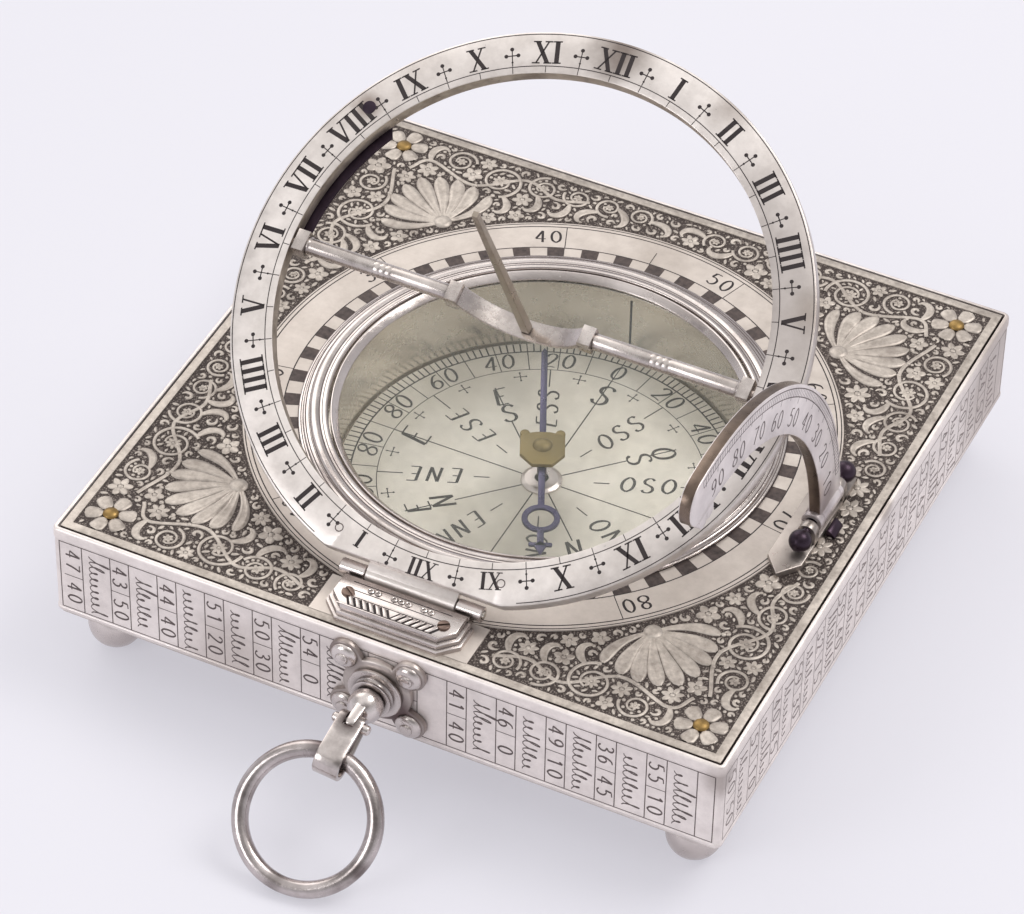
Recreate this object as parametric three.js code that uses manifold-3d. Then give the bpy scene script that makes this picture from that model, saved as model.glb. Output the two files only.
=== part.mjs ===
// Equinoctial pocket sundial: a square box with a compass let into its top plate, an hour
// ring hinged at the front edge, a gnomon on a turning bridge, a folding latitude quadrant
// and a suspension ring. Millimetres, +Z up. The origin is the centre of the box's underside,
// +Y points away from the hour ring's hinge.
import * as THREE from 'three';
import { mergeVertices } from 'three/addons/utils/BufferGeometryUtils.js';
import Module from 'manifold-3d';

const wasm = await Module();
wasm.setup();

// Fits shared by all pieces
const seatGap = 0.3;
const runningGap = 0.15;
const overrun = 1;

// Box: walls, top plate, bottom plate, corner posts
const box = {
  width: 90,
  cornerRadius: 0.9,
  edgeChamfer: 0.35,
  wall: 2.2,
  rim: 0.6,
  plateThickness: 1.3,
  plateCorner: 0.6,
  wallDepth: 13.9,
  bottomThickness: 0.6,
  bottomInset: 0.3,
  panelInset: 12,
  panelHeight: 0.2,
  cornerInset: 5.4,
  postWidth: 5.2,
};
const plateSide = box.width - 2 * (box.rim + seatGap);
const undersideDepth = box.wallDepth + box.bottomThickness;
const cornerPitch = box.width / 2 - box.cornerInset;

// Feet and corner screws
const foot = {
  ballRadius: 3.56,
  flatDepth: 0.15,
  neckRadius: 1.5,
  neckLength: 0.45,
  shankRadius: 0.9,
  shankLength: 4.6,
};
const cornerScrew = { headRadius: 1, headHeight: 0.5, shankRadius: 0.6, shankLength: 4.8 };

// Compass: bowl, card, needle, glass and the mouldings round it
const compass = {
  edgeInset: 18.7,
  bowlWall: 0.9,
  bowlFloor: 0.8,
  floorClearance: 1.6,
  cardThickness: 0.7,
  flangeWidth: 3,
  flangeThickness: 0.4,
  bossRadius: 2.65,
  bossHeight: 0.5,
  glassThickness: 0.9,
  glassDepth: 0.45,
};
compass.bowlBore = box.width / 2 - compass.edgeInset;
compass.cardDepth = box.wallDepth - compass.floorClearance - compass.bowlFloor - compass.cardThickness;
const bezel = { overlap: 0.3, width: 3.7, height: 1.45 };
bezel.innerRadius = compass.bowlBore + bezel.overlap + seatGap;
bezel.outerRadius = bezel.innerRadius + bezel.width;
const glassRing = { width: 1, lipHeight: 0.15, height: 0.9 };
glassRing.innerRadius = bezel.innerRadius - seatGap - glassRing.width;
const bowlRadius = compass.bowlBore + compass.bowlWall;
compass.flangeRadius = bowlRadius + compass.flangeWidth;
const floorDepth = compass.cardDepth + compass.cardThickness;

const post = { radius: 0.6, shoulderHeight: 3.4, tipLength: 2.3 };
post.shoulderDepth = compass.cardDepth - post.shoulderHeight;
post.tipDepth = post.shoulderDepth - post.tipLength;
const needle = {
  tipClearance: 7.2,
  barWidth: 0.85,
  thickness: 0.35,
  belowTip: 0.25,
  eyeRadius: 2.5,
  eyeBore: 1.85,
  openRingInset: 6.6,
  openRingRadius: 2.4,
  openRingBore: 1.65,
  crossInset: 1.9,
  crossSpan: 2.8,
  declination: THREE.MathUtils.degToRad(24.8),
};
needle.depth = post.tipDepth + needle.belowTip;
needle.halfLength = compass.bowlBore - needle.tipClearance;
needle.openRingPitch = needle.halfLength - needle.openRingInset;
needle.crossPitch = needle.halfLength - needle.crossInset;
const cap = {
  halfWidth: 2.85,
  halfLength: 3.5,
  earLength: 1.2,
  thickness: 0.6,
  hubRadius: 1.55,
  hubHeight: 1.05,
  domeRadius: 1.25,
  domeHeight: 0.6,
  domeShoulderShare: 0.8,
  coneRadius: 1,
  coneHeight: 1.65,
};
cap.hubDepth = needle.depth + cap.hubHeight;
cap.coneDepth = cap.hubDepth - cap.coneHeight;

// Hour ring, its hinge, the click spring and the gnomon bridge
const hinge = {
  edgeInset: 8.7,
  height: 1.7,
  barrelRadius: 1,
  pinRadius: 0.45,
  knuckleHalf: 6,
  lugLength: 3.35,
  pinOverhang: 0.2,
};
hinge.y = hinge.edgeInset - box.width / 2;
const ring = {
  tilt: THREE.MathUtils.degToRad(33.3),
  edgeInset: 8.6,
  width: 5.4,
  hingeInset: 0.7,
  underside: 0.2,
  thickness: 2.2,
  edgeBevel: 0.3,
  innerBevel: 0.1,
  webReach: 2.8,
};
ring.outerRadius = box.width / 2 - ring.edgeInset;
ring.innerRadius = ring.outerRadius - ring.width;
ring.pitch = ring.outerRadius - ring.hingeInset;
const block = {
  rearGap: 0.6,
  lugProud: 0.2,
  length: 5.7,
  height: 2.3,
  cornerCut: 2.2,
  stepHeights: [0.7, 1.4],
  stepInsets: [0, 0.35, 0.8],
  screwInset: 2.65,
  screwBehindFront: 2.9,
};
block.halfWidth = hinge.knuckleHalf + hinge.lugLength - hinge.pinOverhang / 2 - block.lugProud;
block.rear = hinge.y - hinge.barrelRadius - block.rearGap;
block.front = block.rear - block.length;
block.screwX = block.halfWidth - block.screwInset;
block.screwY = block.front + block.screwBehindFront;
const hingeScrew = { headRadius: 0.8, headHeight: 0.35, crownRadius: 0.6, shankRadius: 0.4, depth: 2.4 };
const leaf = {
  reachInside: 1,
  rootWidth: 2.8,
  tipWidth: 5.3,
  tipAngle: THREE.MathUtils.degToRad(141),
  rivetAngle: THREE.MathUtils.degToRad(146.5),
  thickness: 0.3,
  endClear: 1.8,
};
leaf.innerRadius = ring.innerRadius - leaf.reachInside;
leaf.rootRadius = leaf.innerRadius + leaf.rootWidth;
leaf.tipRadius = leaf.innerRadius + leaf.tipWidth;
const rivet = { tipInset: 1.3, radius: 0.85, headRadius: 1.3, headHeight: 0.35, proud: 0.1 };
rivet.pitch = leaf.tipRadius - rivet.tipInset;
const bridge = {
  barRadius: 1.05,
  endBlock: 2.8,
  endBlockLength: 1.6,
  endGap: 0.4,
  innerBlock: 2.6,
  innerBlockLength: 1.7,
  bowHalf: 8.1,
  bowDip: 4,
  bandWidth: 2.6,
  bandThickness: 0.6,
  turn: THREE.MathUtils.degToRad(-6.6),
  pivotRadius: 0.5,
  pivotDepth: 1.1,
  pivotRecess: 0.6,
};
const gnomon = { tipClearance: 1.6, footWidth: 1.15, tipWidth: 0.8, tangRadius: 0.4, tangLength: 1.5 };
gnomon.tip = ring.innerRadius - gnomon.tipClearance;
const ringMid = ring.underside + ring.thickness / 2;
const bridgeHalf = ring.innerRadius - bridge.endGap;

// Latitude quadrant and its hinge on the top plate
const quadrant = {
  outerReach: 2.5,
  width: 6.1,
  thickness: 1.6,
  ringClearance: 1.4,
  lean: THREE.MathUtils.degToRad(-1.6),
  startAngle: THREE.MathUtils.degToRad(2),
  endAngle: THREE.MathUtils.degToRad(97),
  tabRadius: 1.1,
  tabInset: 0.47,
  tabPlaceShares: [0.2, 1.8],
};
quadrant.outerRadius = ring.pitch + quadrant.outerReach;
quadrant.innerRadius = quadrant.outerRadius - quadrant.width;
quadrant.rightFace = ring.outerRadius + quadrant.ringClearance + quadrant.thickness;
const knuckle = { outset: 2.1, z: 2.6, radius: 1.4, endMargin: 0.7, pinRadius: 0.6 };
knuckle.x = ring.outerRadius + knuckle.outset;
knuckle.front = hinge.y + quadrant.innerRadius - knuckle.endMargin;
knuckle.back = hinge.y + quadrant.outerRadius;
const quadrantBase = {
  leftOf: 3.3,
  rightOf: 1.2,
  frontOf: 5.5,
  gable: 2.7,
  behind: 5,
  thickness: 0.8,
  earWidth: 1.3,
  earHalf: 1.2,
  earTop: 0.85,
};
quadrantBase.left = knuckle.x - quadrantBase.leftOf;
quadrantBase.right = knuckle.x + quadrantBase.rightOf;
quadrantBase.front = knuckle.front - quadrantBase.frontOf;
quadrantBase.gablePoint = quadrantBase.front - quadrantBase.gable;
quadrantBase.back = knuckle.back + quadrantBase.behind;
const quadrantPin = { ballRadius: 1.44, ballGap: 0.4 };
const catchSpring = { width: 1.2, length: 2.6, height: 0.9, frontOf: 1.3 };
catchSpring.front = knuckle.front + catchSpring.frontOf;

// Suspension: plate, studs, swivel knob, shackle and wire ring
const hanger = {
  rise: 0.05,
  plateThickness: 0.8,
  lobePitchX: 4.3,
  lobePitchZ: 4.1,
  lobeRadius: 2.1,
  centreRadius: 4.6,
  waist: 3.6,
};
hanger.z = hanger.rise - box.wallDepth / 2;
const stud = {
  domeRadius: 1.75,
  domeHeight: 0.75,
  shoulderInset: 0.14,
  nippleRadius: 0.8,
  nippleHeight: 0.3,
  shankRadius: 0.6,
};
const knob = {
  flangeRadius: 3.6,
  flangeThickness: 0.5,
  collarRadius: 2.6,
  collarThickness: 0.8,
  flangeTaper: 0.1,
  neckRadius: 1.82,
  ballRadius: 2.2,
  shankRadius: 0.9,
  noseHalf: 0.6,
  noseRadius: 1.05,
  nutRadius: 1.9,
  nutThickness: 1.2,
  shankTail: 0.3,
  turn: THREE.MathUtils.degToRad(6.6),
};
const shackle = {
  reach: 7.45,
  rise: 0.5,
  pinRadius: 0.65,
  pinHalf: 2.2,
  width: 3.3,
  nearRadius: 1.3,
  farRadius: 2.15,
  strap: 0.6,
  length: 7.1,
  noseClearance: 0.55,
  drop: THREE.MathUtils.degToRad(25),
};
const wireRing = {
  pitchRadius: 8.37,
  wireRadius: 1.09,
  seat: 4.25,
  drop: THREE.MathUtils.degToRad(46),
};

// Facets round a circle, and steps along the arcs of an outline
const facets = { ring: 84, large: 60, medium: 22, small: 14, tiny: 10, nut: 6, pin: 4 };
const steps = { arc: 20, strapEnd: 12, leaf: 10, roundEnd: 8, ball: 7, fillet: 3 };
const mergeTolerance = 1e-5;

const steel = { color: 0x2a2733, metalness: 0.8, roughness: 0.4 };
const silver = { color: 0xc9c6c0, metalness: 0.9, roughness: 0.35 };
const finishes = {
  silver,
  darkSilver: { color: 0xa8a49c, metalness: 0.85, roughness: 0.45 },
  steel,
  brass: { color: 0xa98a4a, metalness: 0.9, roughness: 0.35 },
  gilt: { color: 0xc9a64f, metalness: 0.9, roughness: 0.3 },
  card: { color: 0xd6d8cd, metalness: 0.6, roughness: 0.5 },
  glass: { color: 0xe8efec, metalness: 0, roughness: 0.05, transparent: true, opacity: 0.3 },
};

// Solids are joined and cut as manifolds and turned back into geometry at the end.
function toSolid(geometry) {
  const bare = geometry.clone();
  bare.deleteAttribute('normal');
  bare.deleteAttribute('uv');
  const merged = mergeVertices(bare, mergeTolerance);
  return new wasm.Manifold(new wasm.Mesh({
    numProp: 3,
    vertProperties: new Float32Array(merged.attributes.position.array),
    triVerts: new Uint32Array(merged.index.array),
  }));
}

function toGeometry(solid) {
  const mesh = solid.getMesh();
  const geometry = new THREE.BufferGeometry();
  geometry.setAttribute('position', new THREE.BufferAttribute(new Float32Array(mesh.vertProperties), 3));
  geometry.setIndex(new THREE.BufferAttribute(new Uint32Array(mesh.triVerts), 1));
  geometry.computeVertexNormals();
  return geometry;
}

function join(...solids) {
  return solids.reduce((whole, solid) => whole.add(solid));
}

function cut(solid, ...tools) {
  return tools.reduce((whole, tool) => whole.subtract(tool), solid);
}

// Turns a prism of an outline drawn in Y and Z to stand along X
const toSide = new THREE.Matrix4().makeBasis(
  new THREE.Vector3(0, 1, 0), new THREE.Vector3(0, 0, 1), new THREE.Vector3(1, 0, 0),
);

// Prism of a flat outline between two heights
function prism(shape, low, high, segments = facets.small) {
  const options = { depth: high - low, bevelEnabled: false, curveSegments: segments };
  return new THREE.ExtrudeGeometry(shape, options).translate(0, 0, low);
}

// Body of revolution about Z from [radius, height] pairs, counter-clockwise in section
function turned(profile, segments) {
  const points = profile.map(([radius, height]) => new THREE.Vector2(radius, height));
  return new THREE.LatheGeometry(points, segments).rotateX(Math.PI / 2);
}

function block3(x0, x1, y0, y1, z0, z1) {
  const geometry = new THREE.BoxGeometry(x1 - x0, y1 - y0, z1 - z0);
  return geometry.translate((x0 + x1) / 2, (y0 + y1) / 2, (z0 + z1) / 2);
}

// Cylinders along the three axes, between two positions on that axis
function rodZ(radius, low, high, segments = facets.small, x = 0, y = 0) {
  const geometry = new THREE.CylinderGeometry(radius, radius, high - low, segments);
  return geometry.rotateX(Math.PI / 2).translate(x, y, (low + high) / 2);
}

function rodY(radius, low, high, segments = facets.small, x = 0, z = 0) {
  const geometry = new THREE.CylinderGeometry(radius, radius, high - low, segments);
  return geometry.translate(x, (low + high) / 2, z);
}

function rodX(radius, low, high, segments = facets.small, y = 0, z = 0) {
  const geometry = new THREE.CylinderGeometry(radius, radius, high - low, segments);
  return geometry.rotateZ(Math.PI / 2).translate((low + high) / 2, y, z);
}

function roundedSquare(side, radius) {
  const half = side / 2;
  const shape = new THREE.Shape();
  shape.moveTo(half - radius, -half);
  shape.absarc(half - radius, -half + radius, radius, -Math.PI / 2, 0, false);
  shape.absarc(half - radius, half - radius, radius, 0, Math.PI / 2, false);
  shape.absarc(-half + radius, half - radius, radius, Math.PI / 2, Math.PI, false);
  shape.absarc(-half + radius, -half + radius, radius, Math.PI, 1.5 * Math.PI, false);
  return shape;
}

function polygon(points) {
  return new THREE.Shape(points.map(([x, y]) => new THREE.Vector2(x, y)));
}

function arcPoints(centre, radius, from, to, count) {
  return Array.from({ length: count + 1 }, (_, i) => {
    const angle = from + ((to - from) * i) / count;
    return [centre[0] + radius * Math.cos(angle), centre[1] + radius * Math.sin(angle)];
  });
}

function mesh(name, geometry, finish) {
  const made = new THREE.Mesh(geometry, new THREE.MeshStandardMaterial(finishes[finish]));
  made.name = name;
  return made;
}

const corners = [[-1, -1], [1, -1], [1, 1], [-1, 1]].map(([sx, sy]) => [sx * cornerPitch, sy * cornerPitch]);
const cornerNames = ['front_left', 'front_right', 'back_right', 'back_left'];
const studPlaces = [[-1, 1], [1, 1], [1, -1], [-1, -1]].map(
  ([sx, sz]) => [sx * hanger.lobePitchX, hanger.z + sz * hanger.lobePitchZ],
);
const studNames = ['upper_left', 'upper_right', 'lower_right', 'lower_left'];

// Box pieces; z = 0 is the top plate's upper face in all of these.
function caseWalls() {
  const options = {
    depth: box.wallDepth - 2 * box.edgeChamfer,
    bevelEnabled: true,
    bevelThickness: box.edgeChamfer,
    bevelSize: box.edgeChamfer,
    bevelOffset: -box.edgeChamfer,
    bevelSegments: 1,
    curveSegments: steps.fillet,
  };
  const outer = new THREE.ExtrudeGeometry(roundedSquare(box.width, box.cornerRadius), options);
  outer.translate(0, 0, box.edgeChamfer - box.wallDepth);
  const inside = roundedSquare(box.width - 2 * box.wall, box.plateCorner);
  const bore = prism(inside, -box.wallDepth - overrun, overrun, steps.fillet);
  const rabbet = prism(roundedSquare(plateSide + 2 * seatGap, box.plateCorner), -box.plateThickness, overrun,
    steps.fillet);
  const front = -box.width / 2;
  const drills = studPlaces.map(([x, z]) => toSolid(
    rodY(stud.shankRadius + seatGap, front - overrun, front + box.wall + overrun, facets.tiny, x, z),
  ));
  const swivelHole = rodY(knob.shankRadius + seatGap, front - overrun, front + box.wall + overrun,
    facets.small, 0, hanger.z);
  return toGeometry(cut(toSolid(outer), toSolid(bore), toSolid(rabbet), ...drills, toSolid(swivelHole)));
}

// Bottom plate, its middle a panel that stands a little proud of the margin round the feet
function bottomPlate() {
  const margin = prism(roundedSquare(box.width - 2 * box.bottomInset, box.cornerRadius),
    box.panelHeight - undersideDepth, -box.wallDepth, steps.fillet);
  const panel = prism(roundedSquare(box.width - 2 * box.panelInset, box.cornerRadius),
    -undersideDepth, -box.wallDepth, steps.fillet);
  const holes = corners.map(([x, y]) => toSolid(rodZ(foot.neckRadius + runningGap,
    -undersideDepth - overrun, -box.wallDepth + overrun, facets.small, x, y)));
  return toGeometry(cut(join(toSolid(margin), toSolid(panel)), ...holes));
}

function cornerPost([x, y]) {
  const half = box.postWidth / 2;
  const pillar = block3(x - half, x + half, y - half, y + half, -box.wallDepth, -box.plateThickness);
  const footHole = rodZ(foot.shankRadius + runningGap, -box.wallDepth - overrun,
    foot.shankLength - undersideDepth + seatGap, facets.tiny, x, y);
  const screwHole = rodZ(cornerScrew.shankRadius + runningGap, -cornerScrew.shankLength - seatGap,
    overrun, facets.tiny, x, y);
  return toGeometry(cut(toSolid(pillar), toSolid(footHole), toSolid(screwHole)));
}

function topPlate() {
  const plate = prism(roundedSquare(plateSide, box.plateCorner), -box.plateThickness, 0, steps.fillet);
  const well = rodZ(bowlRadius + seatGap, -box.plateThickness - overrun, overrun, facets.large);
  const holes = corners.map(([x, y]) => toSolid(rodZ(cornerScrew.shankRadius + runningGap,
    -box.plateThickness - overrun, overrun, facets.tiny, x, y)));
  const hingeHoles = [-1, 1].map((side) => toSolid(rodZ(hingeScrew.shankRadius + runningGap,
    -box.plateThickness - overrun, overrun, facets.tiny, side * block.screwX, block.screwY)));
  return toGeometry(cut(toSolid(plate), toSolid(well), ...holes, ...hingeHoles));
}

// Ball foot: its neck passes through the bottom plate and shoulders on the corner post.
function ballFoot() {
  const { ballRadius, flatDepth, neckRadius, neckLength, shankRadius, shankLength } = foot;
  const centre = -neckLength - Math.sqrt(ballRadius ** 2 - neckRadius ** 2);
  const low = Math.asin((flatDepth - ballRadius) / ballRadius);
  const high = Math.acos(neckRadius / ballRadius);
  const arc = arcPoints([0, centre], ballRadius, low, high, steps.ball);
  const bottom = arc[0][1];
  return turned([[0, bottom], ...arc, [neckRadius, box.bottomThickness], [shankRadius, box.bottomThickness],
    [shankRadius, shankLength], [0, shankLength]], facets.small);
}

function domeScrew({ headRadius, headHeight, shankRadius, shankLength }) {
  const rise = (angle) => [headRadius * Math.cos(angle), headHeight * Math.sin(angle)];
  return turned([[0, -shankLength], [shankRadius, -shankLength], [shankRadius, 0], [headRadius, 0],
    rise(Math.PI / 6), rise(Math.PI / 3), [0, headHeight]], facets.tiny);
}

// Compass pieces
function compassBowl() {
  const top = -compass.glassDepth;
  const under = -box.plateThickness;
  const bottom = -floorDepth - compass.bowlFloor;
  return turned([[0, bottom], [bowlRadius, bottom], [bowlRadius, under - compass.flangeThickness],
    [compass.flangeRadius, under - compass.flangeThickness], [compass.flangeRadius, under],
    [bowlRadius, under], [bowlRadius, top], [compass.bowlBore, top],
    [compass.bowlBore, -floorDepth], [0, -floorDepth]], facets.large);
}

function compassCard() {
  const radius = compass.bowlBore - seatGap;
  const bore = post.radius + seatGap;
  return turned([[bore, -floorDepth], [radius, -floorDepth], [radius, -compass.cardDepth],
    [bore, -compass.cardDepth], [bore, -floorDepth]], facets.large);
}

function cardBoss() {
  const { cardDepth, bossRadius, bossHeight } = compass;
  const bore = post.radius + seatGap;
  const top = bossHeight - cardDepth;
  return turned([[bore, -cardDepth], [bossRadius, -cardDepth], [bossRadius, top - bossHeight / 3],
    [bossRadius - bossHeight / 3, top], [bore, top], [bore, -cardDepth]], facets.medium);
}

function pivotPost() {
  return turned([[0, -floorDepth], [post.radius, -floorDepth], [post.radius, -post.shoulderDepth],
    [0, -post.tipDepth]], facets.tiny);
}

function glassDisc() {
  return rodZ(bezel.innerRadius - seatGap, -compass.glassDepth, compass.glassThickness - compass.glassDepth,
    facets.large);
}

function glassRetainer() {
  const low = compass.glassThickness - compass.glassDepth;
  const outer = bezel.innerRadius - seatGap;
  const { innerRadius, lipHeight, height } = glassRing;
  return turned([[innerRadius, low], [outer, low], [outer, low + height],
    [outer - lipHeight, low + height], [innerRadius, low + lipHeight], [innerRadius, low]], facets.large);
}

// Steps and rolls of the bezel, from its foot to its bore, as shares of its width and height
const bezelProfileShares = [
  [1, 0], [1, 0.22], [0.84, 0.32], [0.8, 0.5], [0.62, 0.62], [0.54, 0.95], [0.4, 1], [0.3, 0.94],
  [0.2, 0.94], [0.1, 1], [0, 0.94], [0, 0],
];

function bezelRing() {
  const { innerRadius, width, height } = bezel;
  const profile = bezelProfileShares.map(([across, up]) => [innerRadius + across * width, up * height]);
  return turned([...profile, profile[0]], facets.large);
}

function compassNeedle() {
  const low = -needle.depth - needle.thickness;
  const high = -needle.depth;
  const half = needle.barWidth / 2;
  const bar = (from, to) => toSolid(block3(-half, half, from, to, low, high));
  const disc = (radius, y) => toSolid(rodZ(radius, low, high, facets.medium, 0, y));
  const hole = (radius, y) => toSolid(rodZ(radius, low - overrun, high + overrun, facets.medium, 0, y));
  const tip = toSolid(prism(polygon([[half, needle.halfLength - needle.barWidth],
    [0, needle.halfLength], [-half, needle.halfLength - needle.barWidth]]), low, high));
  const spear = toSolid(prism(polygon([[-needle.barWidth, -needle.crossPitch],
    [0, -needle.halfLength], [needle.barWidth, -needle.crossPitch]]), low, high));
  const cross = toSolid(block3(-needle.crossSpan / 2, needle.crossSpan / 2,
    -needle.crossPitch - half, -needle.crossPitch + half, low, high));
  const body = join(disc(needle.eyeRadius, 0), disc(needle.openRingRadius, -needle.openRingPitch),
    bar(needle.eyeBore, needle.halfLength - needle.barWidth), bar(-needle.openRingPitch, -needle.eyeBore),
    bar(-needle.crossPitch, -needle.openRingPitch), tip, spear, cross);
  const turnedBody = cut(body, hole(needle.eyeBore, 0), hole(needle.openRingBore, -needle.openRingPitch));
  return toGeometry(turnedBody).rotateZ(needle.declination);
}

// Outline of the needle's cap, as shares of its half width and half length
const capOutlineShares = [
  [-0.45, -1], [0.45, -1], [1, -0.45], [1, 0.5], [0.8, 0.62], [0.3, 0.72],
  [-0.3, 0.72], [-0.8, 0.62], [-1, 0.5], [-1, -0.45],
];

function needleCap() {
  const low = -needle.depth;
  const high = low + cap.thickness;
  const outline = capOutlineShares.map(([x, y]) => [x * cap.halfWidth, y * cap.halfLength]);
  const plate = toSolid(prism(polygon(outline), low, high));
  const ears = [-1, 1].map((side) => toSolid(rodZ(cap.earLength / 2, low, high, facets.small,
    side * (cap.halfWidth - cap.earLength / 2), cap.halfLength - cap.earLength)));
  const shoulder = high + cap.domeHeight * cap.domeShoulderShare;
  const dome = toSolid(turned([[0, low], [cap.domeRadius, low], [cap.domeRadius, high],
    [cap.domeRadius / 2, shoulder], [0, high + cap.domeHeight]], facets.small));
  const hub = toSolid(rodZ(cap.hubRadius, -cap.hubDepth, high, facets.small));
  const cone = toSolid(turned([[0, -cap.hubDepth - overrun], [cap.coneRadius, -cap.hubDepth - overrun],
    [cap.coneRadius, -cap.hubDepth], [0, -cap.coneDepth]], facets.small));
  return toGeometry(cut(join(plate, ...ears, dome, hub), cone)).rotateZ(needle.declination);
}

// Hour ring and what it carries, in the ring's own frame: X along the hinge, Y up the slope,
// Z square to the ring, origin on the hinge's axis.
function hourRing() {
  const { innerRadius, outerRadius, underside, thickness, edgeBevel, innerBevel, pitch, webReach } = ring;
  const top = underside + thickness;
  const annulus = turned([[innerRadius, underside], [outerRadius - edgeBevel, underside],
    [outerRadius, underside + edgeBevel], [outerRadius, top - edgeBevel], [outerRadius - edgeBevel, top],
    [innerRadius + innerBevel, top], [innerRadius, top - innerBevel], [innerRadius, underside]], facets.ring);
  annulus.translate(0, pitch, 0);
  const chord = hinge.barrelRadius + seatGap;
  const trimBox = block3(-outerRadius, outerRadius, -outerRadius, chord, underside - overrun, top + overrun);
  const web = block3(-hinge.knuckleHalf, hinge.knuckleHalf, 0, webReach, underside, hinge.barrelRadius);
  const barrel = rodX(hinge.barrelRadius, -hinge.knuckleHalf, hinge.knuckleHalf, facets.small);
  const pinHole = rodX(hinge.pinRadius + runningGap, -hinge.knuckleHalf - overrun,
    hinge.knuckleHalf + overrun, facets.tiny);
  const rivetHole = rodZ(rivet.radius + runningGap, underside - overrun, top + overrun, facets.small,
    ...rivetPlace());
  const pivotHoles = [-1, 1].map((side) => {
    const ends = [side * (innerRadius - overrun), side * (outerRadius - bridge.pivotRecess + runningGap)];
    return toSolid(rodX(bridge.pivotRadius + runningGap, Math.min(...ends), Math.max(...ends),
      facets.tiny, pitch, ringMid));
  });
  const body = join(cut(toSolid(annulus), toSolid(trimBox)), toSolid(web), toSolid(barrel));
  return toGeometry(cut(body, toSolid(pinHole), toSolid(rivetHole), ...pivotHoles));
}

function rivetPlace() {
  return [rivet.pitch * Math.cos(leaf.rivetAngle), ring.pitch + rivet.pitch * Math.sin(leaf.rivetAngle)];
}

function ringSpring() {
  const centre = [0, ring.pitch];
  const endInner = Math.PI - Math.asin(leaf.endClear / leaf.innerRadius);
  const endOuter = Math.PI - Math.asin(leaf.endClear / leaf.rootRadius);
  const inner = arcPoints(centre, leaf.innerRadius, leaf.rivetAngle, endInner, steps.leaf);
  const outer = arcPoints(centre, leaf.rootRadius, endOuter, leaf.rivetAngle, steps.leaf).map(([x, y], i) => {
    const grow = 1 + ((leaf.tipRadius / leaf.rootRadius - 1) * i) / steps.leaf;
    return [x * grow, ring.pitch + (y - ring.pitch) * grow];
  });
  const tip = arcPoints(centre, leaf.tipRadius, leaf.tipAngle, leaf.tipAngle, 1)[0];
  const top = ring.underside - seatGap;
  const plate = prism(polygon([...inner, ...outer, tip]), top - leaf.thickness, top);
  const hole = rodZ(rivet.radius + runningGap, top - leaf.thickness - overrun, top + overrun,
    facets.small, ...rivetPlace());
  return toGeometry(cut(toSolid(plate), toSolid(hole)));
}

function springRivet() {
  const low = ring.underside - 2 * seatGap - leaf.thickness;
  const top = ring.underside + ring.thickness + rivet.proud;
  const { radius, headRadius, headHeight, proud } = rivet;
  const profile = [[0, low - headHeight], [headRadius, low - headHeight], [headRadius, low],
    [radius, low], [radius, top - proud], [radius - proud, top], [0, top]];
  const [x, y] = rivetPlace();
  return turned(profile, facets.small).translate(x, y, 0);
}

function bridgePivot(side) {
  const ends = [side * (bridgeHalf - bridge.pivotDepth), side * (ring.outerRadius - bridge.pivotRecess)];
  return rodX(bridge.pivotRadius, Math.min(...ends), Math.max(...ends), facets.tiny, ring.pitch, ringMid);
}

// Bridge and gnomon, in the bridge's own frame: X along the bars, Z along the gnomon
function gnomonBridge() {
  const { barRadius, endBlock, endBlockLength, innerBlock, innerBlockLength } = bridge;
  const { bowHalf, bandThickness } = bridge;
  const cube = (from, to, side) => toSolid(block3(Math.min(from, to), Math.max(from, to),
    -side / 2, side / 2, -side / 2, side / 2));
  const half = [-1, 1].map((side) => join(
    cube(side * (bridgeHalf - endBlockLength), side * bridgeHalf, endBlock),
    cube(side * bowHalf, side * (bowHalf + innerBlockLength), innerBlock),
    toSolid(rodX(barRadius, Math.min(side * bowHalf, side * bridgeHalf) + (side > 0 ? barRadius : 0),
      Math.max(side * bowHalf, side * bridgeHalf) - (side > 0 ? 0 : barRadius), facets.small)),
  ));
  const radius = (bowHalf ** 2 + bridge.bowDip ** 2) / (2 * bridge.bowDip);
  const lift = radius - bridge.bowDip;
  const spread = Math.acos(lift / (radius + bandThickness / 2));
  const from = -Math.PI / 2 - spread;
  const to = -Math.PI / 2 + spread;
  const outer = arcPoints([0, lift], radius + bandThickness / 2, from, to, facets.small);
  const inner = arcPoints([0, lift], radius - bandThickness / 2, to, from, facets.small);
  const band = prism(polygon([...outer, ...inner]), -bridge.bandWidth / 2, bridge.bandWidth / 2);
  band.rotateX(Math.PI / 2);
  const tangHole = rodZ(gnomon.tangRadius + runningGap, -bridge.bowDip - overrun, 0, facets.tiny);
  const pivotHoles = [-1, 1].map((side) => {
    const ends = [side * (bridgeHalf - bridge.pivotDepth - seatGap), side * (bridgeHalf + overrun)];
    return toSolid(rodX(bridge.pivotRadius + runningGap, Math.min(...ends), Math.max(...ends), facets.tiny));
  });
  return toGeometry(cut(join(...half, toSolid(band)), toSolid(tangHole), ...pivotHoles));
}

function gnomonPin() {
  const footCorner = gnomon.footWidth / Math.SQRT2;
  const tipCorner = gnomon.tipWidth / Math.SQRT2;
  const low = -bridge.bowDip + bridge.bandThickness / 2 + seatGap;
  const shaft = new THREE.CylinderGeometry(tipCorner, footCorner, gnomon.tip - low, facets.pin);
  shaft.rotateX(Math.PI / 2).rotateZ(Math.PI / 4).translate(0, 0, (gnomon.tip + low) / 2);
  const tang = rodZ(gnomon.tangRadius, low - gnomon.tangLength, low + gnomon.tangLength / 3, facets.tiny);
  return toGeometry(join(toSolid(shaft), toSolid(tang)));
}

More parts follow.
